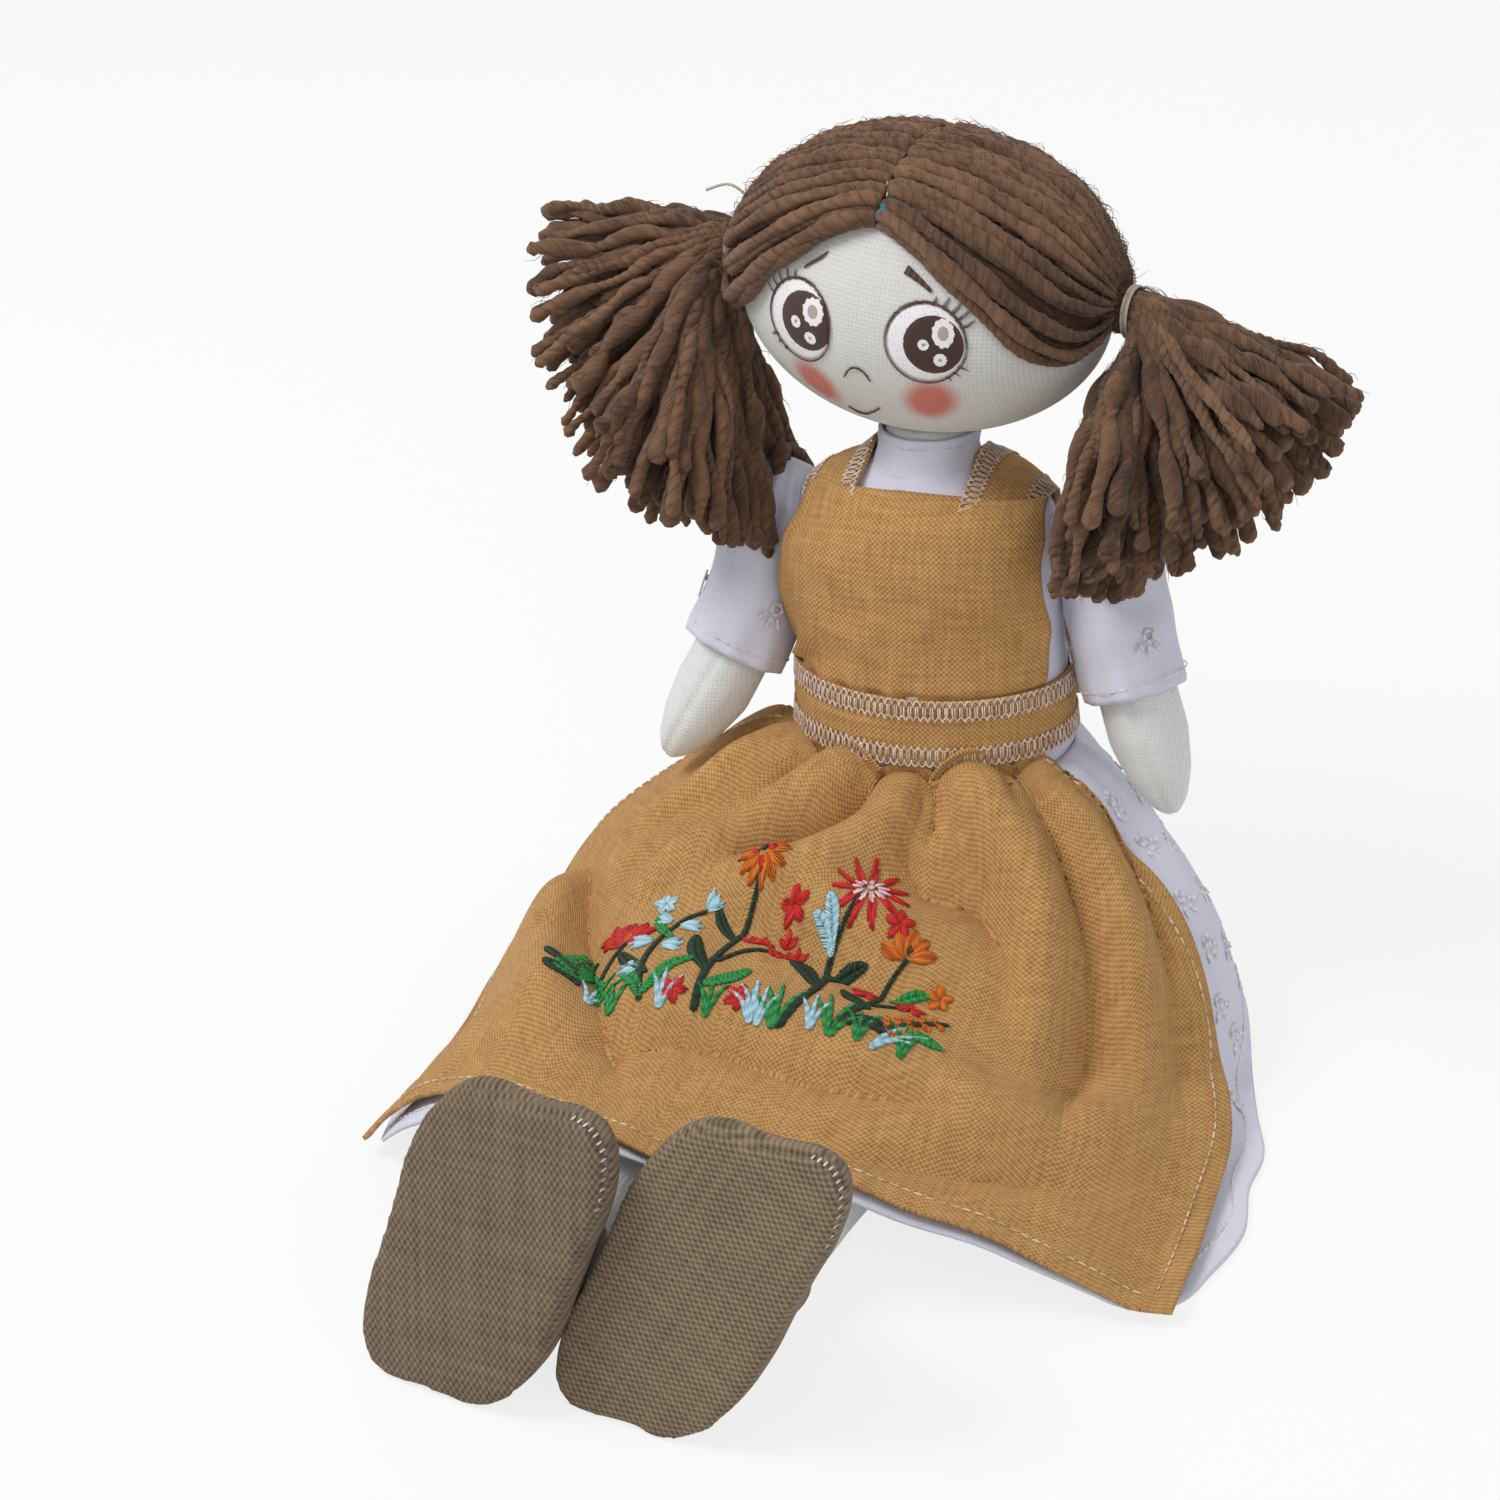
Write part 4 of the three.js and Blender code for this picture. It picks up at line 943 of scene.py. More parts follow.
hair = {
    "parting": 0.006,
    "bald": 0.83,
    "frontAngle": 42.0,
    "backAngle": 205.0,
    "under": {"count": 30, "offset": 2.2, "radius": 1.7},
    "outer": {"count": 36, "offset": 3.7, "radius": 1.95},
    "twistPitch": 4.2,
    "fuzz": 2400,
    "base": {"alongs": 40, "acrosses": 30, "offset": 1.0, "thickness": 0.5},
}
ties = {"reach": 46.6, "place": 5.0, "neck": 5.6, "cord": 0.34, "turns": 2.6, "width": 1.5}
sides = (("left", 1), ("right", -1))


def tieDirection(side):
    return unit(np.array([side, 0.06, 0.04], float))


headHalves = np.array([headShape["halfWidth"], headShape["halfDepth"], headShape["halfTall"]])


def strandDirection(side, along, across):
    # The way a strand lies on the head: along the parting, then across to the tie
    angle = np.radians(hair["frontAngle"] + (hair["backAngle"] - hair["frontAngle"]) * along)
    start = np.array([0.0, -math.cos(angle), math.sin(angle)])
    end = tieDirection(side)
    between = math.acos(np.clip(start @ end, -1, 1))
    across = np.asarray(across, float)[..., None]
    d = (start * np.sin((1 - across) * between) + end * np.sin(across * between)) / math.sin(between)
    # The strands at the front sag over the brow
    sag = np.maximum(0, np.sin(np.clip(across[..., 0], 0, 1) * np.pi)) ** 1.4
    d[..., 2] -= 0.62 * sag * math.exp(-7 * along)
    return unit(d)


def slubs(random, lengths, thin, thick, spacing):
    # Thick and thin yarn: soft swellings with tight stretches between them
    radius = np.full(len(lengths), thin, float)
    place = random.uniform(-spacing, spacing * 0.5)
    while place < lengths[-1] + spacing:
        wide = random.uniform(0.28, 0.46) * spacing
        high = random.uniform(0.55, 1.0)
        radius = np.maximum(radius, thin + (thick - thin) * high * np.exp(-((lengths - place) / wide) ** 4))
        place += spacing * random.uniform(0.7, 1.4)
    return radius


for name, side in sides:
    random = np.random.RandomState(40 + side)
    alongs, acrosses = hair["base"]["alongs"], hair["base"]["acrosses"]
    towardTie = np.linspace(0.0, 0.9, acrosses)
    ways = [strandDirection(side, along, towardTie) for along in np.linspace(0, 1, alongs)]
    places = moved(onHead(ways, hair["base"]["offset"]), headPlace)
    sizes = np.linspace(0, 0.09, alongs), np.linspace(0, 0.07, acrosses)
    flat = np.stack(np.meshgrid(*sizes, indexing="ij"), -1)
    sewn("hair_" + name + "_base", places, awayFrom(headMiddle), hair["base"]["thickness"], yarn,
         "head", "yarn", flat=flat)
    paths, radii, pitches, tones = [], [], [], []
    for layer in ("under", "outer"):
        settings = hair[layer]
        count = settings["count"]
        for i in range(count):
            along = (i + (0.5 if layer == "outer" else 0.0)) / count
            along = np.clip(along + random.uniform(-0.25, 0.25) / count, 0.0, 1.0)
            across = np.concatenate([np.linspace(hair["parting"], hair["bald"], 84), [0.9, 0.95, 0.99]])
            d = strandDirection(side, along, across)
            wave = wander(random, len(across), 0.35)
            taper = 1 - 0.62 * smooth((across - 0.35) / 0.5)
            offset = settings["offset"] + wave + 1.2 * smooth((across - 0.8) / 0.2)
            offset = offset - (1 - smooth(across / 0.05)) * 1.2
            normal = unit(d / headHalves)
            path = onHead(d, 0.0) + normal * offset[:, None]
            sway = unit(np.cross(normal, np.gradient(path, axis=0)), 1e-9)
            path = path + sway * (wander(random, len(across), 0.5) * taper)[:, None]
            # The last stretch runs into the tie's ring
            root = tieDirection(side) * ties["reach"]
            ring = unit(d[-3] - tieDirection(side) * (d[-3] @ tieDirection(side)))
            ring = ring * (ties["neck"] - 2.0 - (1.4 if layer == "under" else 0))
            for k, wide, out in ((-3, 1.5, -1.5), (-2, 1.15, 1.5), (-1, 1.0, 5.0)):
                path[k] = root + ring * wide + np.array([side * out, 0, 0])
            lengths = lengthsAlong(path)
            radius = slubs(random, lengths, settings["radius"] * 0.74, settings["radius"] * 1.12, 17)
            radius = radius * taper
            paths.append(moved(path, headPlace))
            radii.append(radius * mm)
            pitches.append((hair["twistPitch"] + 9 * np.maximum(0, radius / settings["radius"] - 0.7)) * mm)
            tones.append(random.uniform(0.1, 0.9))
    piece = strands("hair_" + name + "_yarn", paths, radii, 10, 0.13, pitches, tones)
    dressed(piece, yarn, "head", "yarn", "hair_" + name)
    outer = hair["under"]["count"]
    fuzz("hair_" + name + "_fuzz", paths[outer:], radii[outer:], hair["fuzz"], 90 + side, "head")
# Cream stitches hold the strands along the parting
paths = []
stitchRise = np.array([[0, 0, -0.4], [0, 0, 0.1], [0, 0, -0.4]]) * mm
for k in range(16):
    angle = math.radians(hair["frontAngle"] + 2 + k * 4.4)
    angles = angle + np.array([-0.022, 0.0, 0.022])
    spot = np.stack([np.full(3, 0.012 * (-1) ** k), -np.cos(angles), np.sin(angles)], 1)
    paths.append(moved(onHead(spot, 3.4), headPlace) + stitchRise)
dressed(strands("parting_stitches", paths, [0.22 * mm] * len(paths), 6), hemThread, "head", None)
print("hair laid")

# Bunches: strands leave the tie and fan out and down, with cut ends. The fan is given in degrees
# below level, out from the head, and the lengths are those of its highest and lowest strands.
bunches = {
    "left": {
        "middle": 69.0, "spread": 57.0, "highLength": 61.0, "lowLength": 72.0, "innerForward": 18.0,
        "hang": 87.5, "seed": 71, "tieEnd": ((2, -2, 5), (8, -2, 2)), "tiePoints": 30,
    },
    "right": {
        "middle": 64.0, "spread": 64.0, "highLength": 60.0, "lowLength": 78.0, "innerForward": 26.0,
        "hang": 106.0, "seed": 69, "tieEnd": ((-1, 0, 8), (-6, -1, 12), (-12, -2, 10)), "tiePoints": 40,
    },
    "deep": 42.0,
    "droop": 9.0,
    "strands": 205,
    "points": 58,
    "thin": 1.0,
    "thick": 2.65,
    "slubSpacing": 17.0,
    "fuzz": 4900,
}
shoulderRoom = {"reach": 56.0, "halfDeep": 15.5, "halfTall": 15.5, "y": 6.0, "z": 120.0}


def clearOfShoulders(points):
    # Moves points in the row frame's millimetres out of the room kept for the sleeves
    local = placed(points, upperPlace.inverted())
    dy = (local[:, 1] - shoulderRoom["y"]) / shoulderRoom["halfDeep"]
    dz = (local[:, 2] - shoulderRoom["z"]) / shoulderRoom["halfTall"]
    deep = np.hypot(dy, np.maximum(dz, 0))
    inside = smooth((shoulderRoom["reach"] + 6 - np.abs(local[:, 0])) / 10)
    factor = np.where(deep < 1, 1 / np.maximum(deep, 0.05), 1)
    factor = 1 + (np.minimum(factor, 6) - 1) * inside
    local[:, 1] = shoulderRoom["y"] + (local[:, 1] - shoulderRoom["y"]) * factor
    lifted = shoulderRoom["z"] + (local[:, 2] - shoulderRoom["z"]) * factor
    local[:, 2] = np.where(dz > 0, lifted, local[:, 2])
    return placed(local, upperPlace)


for name, side in sides:
    bunch = bunches[name]
    random = np.random.RandomState(bunch["seed"])
    root = tieDirection(side) * ties["reach"]
    paths, radii, pitches, tones, plies = [], [], [], [], []
    for k in range(bunches["strands"]):
        share = math.sqrt((k + 0.5) / bunches["strands"]) ** 0.8
        angle = k * 2.39996 + random.uniform(-0.2, 0.2)
        low = math.cos(angle) * share
        below = bunch["middle"] + bunch["spread"] * low
        deep = math.radians(bunches["deep"]) * math.sin(angle) * share
        forward = math.radians(bunch["innerForward"]) * smooth((below - 50) / 45)
        length = bunch["highLength"] + (bunch["lowLength"] - bunch["highLength"]) * smooth(low / 2 + 0.5)
        length += 3.0 * (1 - low ** 2) + random.uniform(-4.0, 1.5)
        length -= random.uniform(0.0, 19.0) * max(0.0, -math.sin(angle)) * share
        count = bunches["points"]
        level = np.linspace(-0.4, length, count)
        leaving = smooth((level + 1.5 - ties["place"]) / 10)
        steep = min(below, bunch["hang"]) + 0.12 * max(0.0, below - bunch["hang"])
        falling = below + (steep - below) * smooth((level - 12) / 22)
        droop = bunches["droop"] * smooth((level - 15) / 45) * np.cos(np.radians(falling))
        down = np.radians(falling + droop) * leaving
        # The inner strands go forward round the cheek at first, then hang
        sway = (deep - forward * (0.45 + 2.0 * np.exp(-(level / 20) ** 2))) * leaving
        step = np.stack([side * np.cos(down) * np.cos(sway), np.sin(sway), -np.sin(down) * np.cos(sway)], 1)
        path = np.cumsum(step * np.diff(level, prepend=level[0])[:, None], axis=0)
        neck = (ties["neck"] - 1.2) * share
        path = path + [side * level[0], neck * math.sin(angle), -neck * math.cos(angle)]
        loose = smooth((level - 7) / 20)[:, None]
        wave = np.stack([wander(random, count, 1.5, 4) for _ in range(3)], 1)
        path = path + wave * loose + root
        path = clearOfShoulders(placed(path, headPlace))
        lengths = lengthsAlong(path)
        thick = max(bunches["thick"] * random.uniform(0.55, 1.12), bunches["thin"] + 0.2)
        radius = slubs(random, lengths, bunches["thin"], thick, bunches["slubSpacing"])
        radius = 0.95 + (radius - 0.95) * smooth((level - 3) / 12)
        # The cut end is blunt and a little splayed
        radius = radius * (1 + 0.12 * smooth((lengths - lengths[-1] + 5) / 5))
        radius = radius * np.sqrt(np.clip((lengths[-1] - lengths) / 1.3, 0.12, 1))
        paths.append(path * mm)
        radii.append(radius * mm)
        pitches.append((4.2 + 10 * np.clip((radius - 1.2) / 1.2, 0, 1)) * mm)
        tones.append(random.uniform(0.0, 0.8))
        # The twist shows in the thin stretches and hardly in the slubs
        plies.append(0.04 + 0.2 * (1 - smooth((radius - 1.2) / 0.9)))
    piece = strands("bunch_" + name + "_yarn", paths, radii, 8, plies, pitches, tones)
    dressed(piece, yarn, "bunch_" + name, "yarn", "bunch_" + name)
    fuzz("bunch_" + name + "_fuzz", paths, radii, bunches["fuzz"], 95 + side, "bunch_" + name)

    # Grey string wound round the neck of the bunch, with its ends let hang
    t = np.linspace(0, 1, 160)
    angle = t * ties["turns"] * 2 * np.pi
    around = ties["neck"] + 0.4
    outward = side * (ties["place"] + ties["width"] * (t - 0.5))
    wound = np.stack([outward, around * np.cos(angle), around * np.sin(angle)], 1) + root
    hung = curved([wound[-1] + end for end in ((0, 0, 0), (side * 3, -4, -4), (side * 5, -7, -13))], 20)
    other = curved([wound[0] + end for end in ((0, 0, 0), *bunch["tieEnd"])], bunch["tiePoints"])
    tied = [moved(line, headPlace) for line in (wound, hung, other)]
    cords, pitches = [ties["cord"] * mm] * len(tied), [2.4 * mm] * len(tied)
    piece = strands("hair_tie_" + name + "_string", tied, cords, 8, 0.22, pitches)
    dressed(piece, stringFinish, "bunch_" + name, "string", "hair_tie_" + name)
print("bunches tied")


# Skirts: one height of cloth over the waist, the lap and the floor

skirt = {
    "waistWidth": 34.8,
    "waistDepth": 28.3,
    "waistHeight": 72.0,
    "below": 3.3,
    "sideReach": {"left": 57.0, "right": 63.0},
    "backReach": 33.0,
    "floorCloth": 1.6,
    "lapHeight": 46.0,
    "hemHeight": 33.0,
    "hipY": -24.0,
    "foldStrength": 2.6,
    "pleatStrength": 1.0,
    "wrinkles": 9,
    "wrinkle": 0.5,
}
# The skirts are drawn on the seat's own axes, a few millimetres off the row frame
seatShift = np.array([stance["seatMiddle"][0], stance["seatMiddle"][1], 0.0])
waist = np.array(upperPlace @ Vector((0, 0, skirt["waistHeight"]))) + seatShift
waist[2] -= skirt["below"]
bellRows = [[0, 1], [0.18, 0.93], [0.42, 0.76], [0.64, 0.6], [0.82, 0.42], [0.93, 0.22], [1, 0]]


def bellReach(towardLeft, towardBack):
    # How far the skirt spreads from the waist before it meets the floor
    left, right, back = skirt["sideReach"]["left"], skirt["sideReach"]["right"], skirt["backReach"]
    side = right + (left - right) * smooth(towardLeft + 0.5)
    return side + (back - side) * smooth((towardBack + 0.3) / 0.75)


# Folds of the cloth in plan: points, half width and height, down where it is negative
folds = (
    (((-22, -25), (-32, -35), (-44, -47), (-58, -58)), 3.2, -2.2),
    (((-13, -28), (-20, -38), (-34, -50), (-52, -62)), 5.0, 2.8),
    (((-4, -30), (-9, -40), (-20, -50), (-34, -58)), 3.2, -2.8),
    (((3, -36), (2, -44), (-8, -54), (-24, -62)), 5.0, 2.8),
    (((8, -27), (11, -35), (12, -43)), 3.2, -3.0),
    (((4, -45), (14, -51), (27, -50), (38, -58)), 8.0, -4.0),
    (((16, -27), (26, -34), (38, -44), (46, -60), (48, -78)), 6.0, 3.4),
    (((26, -22), (40, -32), (52, -46), (58, -64), (60, -92)), 4.6, -3.4),
    (((34, -18), (50, -28), (64, -44), (70, -64)), 5.2, 3.0),
    (((36, -15), (54, -22), (70, -38), (79, -58)), 4.0, -2.4),
    (((-30, -18), (-46, -26), (-62, -36), (-76, -44)), 4.5, 2.2),
    (((-78, -30), (-66, -66), (-50, -98), (-36, -120)), 6.5, -3.8),
    (((-84, -44), (-74, -78), (-62, -106)), 5.5, 2.6),
    (((-46, -114), (-18, -108), (10, -110), (42, -102)), 5.0, -2.6),
    (((-60, -52), (-34, -60), (-4, -66), (20, -70)), 7.0, 2.2),
    (((-20, -74), (6, -80), (30, -84)), 7.0, -1.8),
    (((36, -104), (58, -92), (78, -70)), 7.0, 2.4),
    (((20, -128), (48, -112), (72, -98)), 5.5, -1.8),
)
# Gathers under the sash: degrees round from the front, half width in degrees, length and depth
pleats = (
    (-75, 4.0, 26, 2.6), (-60, 3.0, 18, 2.2), (-47, 3.2, 30, 3.0), (-35, 2.0, 12, 1.8), (-26, 2.2, 20, 2.6),
    (-16, 1.8, 11, 1.8), (-8, 2.4, 24, 3.0), (3, 1.8, 12, 2.0), (12, 3.0, 26, 4.6), (21, 2.0, 12, 2.2),
    (28, 2.2, 20, 3.0), (37, 1.8, 10, 1.8), (45, 2.4, 26, 3.2), (56, 2.4, 16, 2.4), (68, 2.8, 24, 3.0),
    (86, 3.0, 30, 3.0), (104, 4, 24, 2.4), (121, 4, 32, 2.8), (139, 4, 22, 2.2), (156, 4, 30, 2.8),
    (173, 4, 24, 2.4), (190, 4, 32, 2.8), (207, 4, 22, 2.2), (224, 4, 30, 2.8), (241, 4, 24, 2.4),
    (262, 4, 30, 2.8),
)


def foldHeight(x, y):
    # The folds laid over the skirt at some plan places
    total = np.zeros(np.broadcast(x, y).shape)
    for points, width, height in folds:
        line = curved(points, 18)
        steps = len(line) - 1
        best = np.full(total.shape, 1e9)
        place = np.zeros(total.shape)
        for k in range(steps):
            a, b = line[k], line[k + 1]
            along = ((x - a[0]) * (b[0] - a[0]) + (y - a[1]) * (b[1] - a[1])) / np.sum((b - a) ** 2)
            t = np.clip(along, 0, 1)
            far = (x - a[0] - t * (b[0] - a[0])) ** 2 + (y - a[1] - t * (b[1] - a[1])) ** 2
            nearer = far < best
            best = np.where(nearer, far, best)
            place = np.where(nearer, (k + t) / steps, place)
        # Ridges are round, and the valleys between them are sharper
        crease = np.exp(-(np.sqrt(best + 0.8) - 0.9) / (0.85 * width))
        shape = np.exp(-best / width ** 2) if height > 0 else crease
        total += height * shape * np.sin(np.pi * np.clip(place, 0.06, 0.97)) ** 0.5
    return total * skirt["foldStrength"]


def pleatHeight(turn, away):
    total = np.zeros(np.broadcast(turn, away).shape)
    degrees = np.degrees(turn) % 360
    for at, width, length, depth in pleats:
        off = np.abs(degrees - (at - 0.16 * away) % 360)
        off = np.minimum(off, 360 - off)
        wide = width * (1 + 0.4 * away / length)
        valley = np.exp(-(np.sqrt((off / wide) ** 2 + 0.12) - 0.35) * 1.25)
        banks = 0.25 * np.exp(-((off / wide - 2.5) / 1.3) ** 2)
        reach = smooth(away / 6) * (1 - smooth(away / length - 0.1))
        total += depth * (banks - valley) * reach
    return total * skirt["pleatStrength"]


def wrinkles(x, y):
    # Faint random waves that no cloth is without
    random = np.random.RandomState(4)
    total = 0 * x
    for _ in range(skirt["wrinkles"]):
        turn, long, phase = random.uniform(0, np.pi), random.uniform(14, 36), random.uniform(0, 2 * np.pi)
        drift = 5 * np.sin((x * math.sin(turn) - y * math.cos(turn)) / 17 + phase)
        along = x * math.cos(turn) + y * math.sin(turn) + drift
        total = total + np.sin(along * 2 * np.pi / long + phase)
    return total * skirt["wrinkle"] / math.sqrt(skirt["wrinkles"])


def clothBase(x, y):
    # The cloth over the waist, the lap and the floor, before its folds
    dx, dy = x - waist[0], y - waist[1]
    span = np.hypot(dx, dy) + 1e-6
    waists = np.maximum(np.hypot(dx / skirt["waistWidth"], dy / skirt["waistDepth"]), 1e-6)
    away = span * np.maximum(0, 1 - 1 / waists)
    reach = bellReach(dx / span, dy / span)
    slopes = [math.tan(math.radians(stance[lean])) for lean in ("leanSide", "leanBack")]
    top = waist[2] + dx * slopes[0] - dy * slopes[1]
    tent = np.maximum(0, top * splineRead(bellRows, np.minimum(1, away / reach))[..., 0])
    forward = smooth((skirt["hipY"] + 4 - y) / 26)
    along = smooth((-92 - y) / 42)
    middle = -6 - 10 * smooth((-40 - y) / 90)
    core = 30 + 3 * along
    # On the doll's right the cloth stands off the thigh and drops in a round edge
    standing = 1 - smooth((-50 - y) / 45)
    fall = np.where(x > middle, 72, 47 + 9 * standing)
    power = np.where(x > middle, 1.15, 1.75 + 0.45 * standing)
    side = np.clip((np.abs(x - middle) - core) / fall, 0, 1)
    ridge = (skirt["lapHeight"] + (skirt["hemHeight"] - skirt["lapHeight"]) * along) * forward
    lap = ridge * np.maximum(0, 1 - side ** power) ** (1 / power)
    base = (tent ** 6 + lap ** 6 + skirt["floorCloth"] ** 6) ** (1 / 6)
    return base, pleatHeight(np.arctan2(dx, -dy), away)


# The height is worked out once on a fine grid of plan places, and softened before the folds are
# laid on it, as cloth rounds off where its slopes meet
field = {"low": (-126.0, -162.0), "high": (132.0, 80.0), "step": 0.5, "soften": 2.6, "softenFolds": 1.0}


def softened(grid, reach):
    spread = np.arange(-int(3 * reach), int(3 * reach) + 1)
    weight = np.exp(-(spread / reach) ** 2 / 2)
    weight = weight / weight.sum()
    edge = len(spread) // 2
    for _ in range(2):
        tall = np.pad(grid, ((edge, edge), (0, 0)), mode="edge")
        grid = sum(w * tall[k:k + grid.shape[0]] for k, w in enumerate(weight)).T
    return grid


gridX, gridY = np.meshgrid(
    *(np.arange(low, high, field["step"]) for low, high in zip(field["low"], field["high"])), indexing="ij"
)
base, gathers = clothBase(gridX, gridY)
base = softened(base, field["soften"] / field["step"])
# Cloth that lies on the floor has no folds
lifted = smooth((base - 4) / 14)
relief = (foldHeight(gridX, gridY) + wrinkles(gridX, gridY)) * lifted
heightField = base + relief + gathers * smooth((base - 3) / 12)
heightField = softened(heightField, field["softenFolds"] / field["step"])


def skirtHeight(x, y):
    i = np.clip((np.asarray(x) - field["low"][0]) / field["step"], 0, heightField.shape[0] - 1.001)
    j = np.clip((np.asarray(y) - field["low"][1]) / field["step"], 0, heightField.shape[1] - 1.001)
    a, b = i.astype(int), j.astype(int)
    u, v = i - a, j - b
    near = heightField[a, b] * (1 - u) + heightField[a + 1, b] * u
    far = heightField[a, b + 1] * (1 - u) + heightField[a + 1, b + 1] * u
    return near * (1 - v) + far * v


def onSkirt(x, y, offset):
    # Places on the skirt's surface, stood off along its normal, in the row frame's millimetres
    step = 0.6
    z = skirtHeight(x, y)
    slopeX = (skirtHeight(x + step, y) - skirtHeight(x - step, y)) / (2 * step)
    slopeY = (skirtHeight(x, y + step) - skirtHeight(x, y - step)) / (2 * step)
    normal = unit(np.stack([-slopeX, -slopeY, np.ones_like(z)], -1))
    return np.stack([x, y, z], -1) + normal * (offset + 0 * x)[..., None] - seatShift


def hemBehind(degrees):
    # A plan point of the hem where the cloth comes down to the floor, round from the front
    turn = math.radians(degrees)
    out = 1 / math.hypot(math.sin(turn) / skirt["waistWidth"], math.cos(turn) / skirt["waistDepth"])
    out += float(bellReach(math.sin(turn), -math.cos(turn))) + 2.5
    return (waist[0] + out * math.sin(turn), waist[1] - out * math.cos(turn))


def centripetal(points, wanted, closed):
    # A centripetal Catmull-Rom curve through plan points, read at shares of the point count
    pts = np.array(points, float)
    count = len(pts)
    spans = count if closed else count - 1
    out = []
    for t in np.asarray(wanted, float):
        place = t * spans
        i = int(math.floor(place))
        w = place - i
        if not closed and i >= spans:
            i, w = spans - 1, 1.0
        if closed:
            p = [pts[k % count] for k in range(i - 1, i + 3)]
        else:
            before = pts[i - 1] if i > 0 else 2 * pts[0] - pts[1]
            after = pts[i + 2] if i + 2 < count else 2 * pts[-1] - pts[-2]
            p = [before, pts[i], pts[i + 1], after]
        knots = [max(np.sum((p[k + 1] - p[k]) ** 2) ** 0.25, 1e-4) for k in range(3)]
        v1, v2 = [
            ((p[k] - p[k - 1]) / knots[k - 1] - (p[k + 1] - p[k - 1]) / (knots[k - 1] + knots[k])
             + (p[k + 1] - p[k]) / knots[k]) * knots[1]
            for k in (1, 2)
        ]
        a = 2 * p[1] - 2 * p[2] + v1 + v2
        b = -3 * p[1] + 3 * p[2] - 2 * v1 - v2
        out.append(((a * w + b) * w + v1) * w + p[1])
    return np.array(out)


# The dress hem in plan, round from the front to the left: along the floor behind, free before
dressHem = [
    (-12, -143.5), (44, -132), (95, -113), (101, -98), (104, -82), (101, -66), (101, -53), (96, -40),
    *(hemBehind(degrees) for degrees in (100, 124, 150, 180, 210, 238, 262)),
    (-92, -40), (-95, -72), (-99, -112), (-90, -134), (-60, -140),
]


def waistLine(angles, out=0.0):
    # Plan points round the waist, by angles round from the front
    x = waist[0] + (skirt["waistWidth"] + out) * np.sin(angles)
    return np.stack([x, waist[1] - (skirt["waistDepth"] + out) * np.cos(angles)], 1)


def bent(piece):
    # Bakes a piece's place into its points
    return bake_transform(piece)


# Metres: a start and an end for a fold of the cloth at the hips; nothing in this script reads them, so
# nothing folds
bend = {"start": (-0.006, -0.018, 0.06), "end": (-0.006, -0.058, 0.02)}

dress = {"around": 260, "down": 64, "thickness": 0.9, "offset": -0.1, "hemWidth": 6.0}
hemPoints = centripetal(dressHem, np.arange(dress["around"]) / (dress["around"] - 1) % 1.0, True)
hemTurn = np.arctan2(hemPoints[:, 0] - waist[0], -(hemPoints[:, 1] - waist[1]))
waistPoints = waistLine(hemTurn)
share = (np.linspace(0, 1, dress["down"]) ** 0.9)[None, :, None]
plan = waistPoints[:, None, :] + (hemPoints - waistPoints)[:, None, :] * share
dressPlaces = onSkirt(plan[..., 0], plan[..., 1], dress["offset"]) * mm
upward = Vector((0, 0, 1))
dressSkirt = sewn(
    "dress_skirt_cloth", dressPlaces, lambda centre: upward, dress["thickness"], dressCotton, None, "dress",
    "dress_skirt_front", "dress_skirt_back", welded=True
)
bent(dressSkirt)
print("dress skirt draped")

apron = {
    "rows": 230,
    "down": 200,
    "offset": 2.6,
    "thickness": 1.0,
    "arcLeft": 62.0,
    "arcRight": 84.0,
    "hemWidth": 6.0,
    "hemRise": 0.6,
    "groove": 0.35,
    "tuck": 2.6,
    "waistRoom": 0.4,
}
apronEdges = {
    "left": [(33, -16), (60, -18), (81, -31), (91, -52), (96, -86), (97, -119)],
    "right": [(-36, -4), (-70, -4), (-97, -18), (-96, -48), (-96, -94), (-98, -128)],
    "middle": [(-6, -30), (-7, -38), (-9, -58), (-12, -88), (-14, -118), (-16, -145)],
}
across = np.linspace(-1, 1, apron["rows"])
share = np.linspace(0, 1, apron["down"])
read = {key: centripetal(points, share, False) for key, points in apronEdges.items()}
edge = np.where((across > 0)[:, None, None], read["left"][None], read["right"][None])
spread = read["middle"][None] * (1 - np.abs(across))[:, None, None] + edge * np.abs(across)[:, None, None]
arc = np.radians(np.where(across > 0, apron["arcLeft"], apron["arcRight"])) * across
pull = ((1 - share) ** 5)[None, :, None]
apronPlan = spread * (1 - pull) + waistLine(arc, apron["waistRoom"])[:, None, :] * pull
lengthsDown = flatMap(onSkirt(apronPlan[..., 0], apronPlan[..., 1], apron["offset"]))[..., 1]
fromHem = lengthsDown[:, -1:] - lengthsDown
widthsAcross = np.linalg.norm(np.diff(apronPlan, axis=0), axis=-1)
fromRight = np.concatenate([np.zeros((1, apron["down"])), np.cumsum(widthsAcross, axis=0)])
fromEdge = np.minimum(fromRight, fromRight[-1:] - fromRight)
toEdge = np.minimum(fromHem, fromEdge + 8 * (1 - smooth(lengthsDown / 8)))
# A turned hem lies double, and its stitches draw a small groove
hemRise = apron["hemRise"] * (1 - smooth((toEdge - apron["hemWidth"] - 0.4) / 1.2))
groove = apron["groove"] * np.exp(-((toEdge - apron["hemWidth"] + 0.8) / 0.7) ** 2)
apronPlaces = onSkirt(apronPlan[..., 0], apronPlan[..., 1], apron["offset"] + hemRise - groove) * mm
# The top edge is tucked up under the sash
apronPlaces[..., 2] += apron["tuck"] * mm * (1 - smooth(share / 0.035))
apronSkirt = sewn(
    "apron_cloth", apronPlaces, lambda centre: upward, apron["thickness"], linen, None, "linen",
    "apron_skirt", "apron_side_left", "apron_side_right"
)
bent(apronSkirt)
print("apron draped")
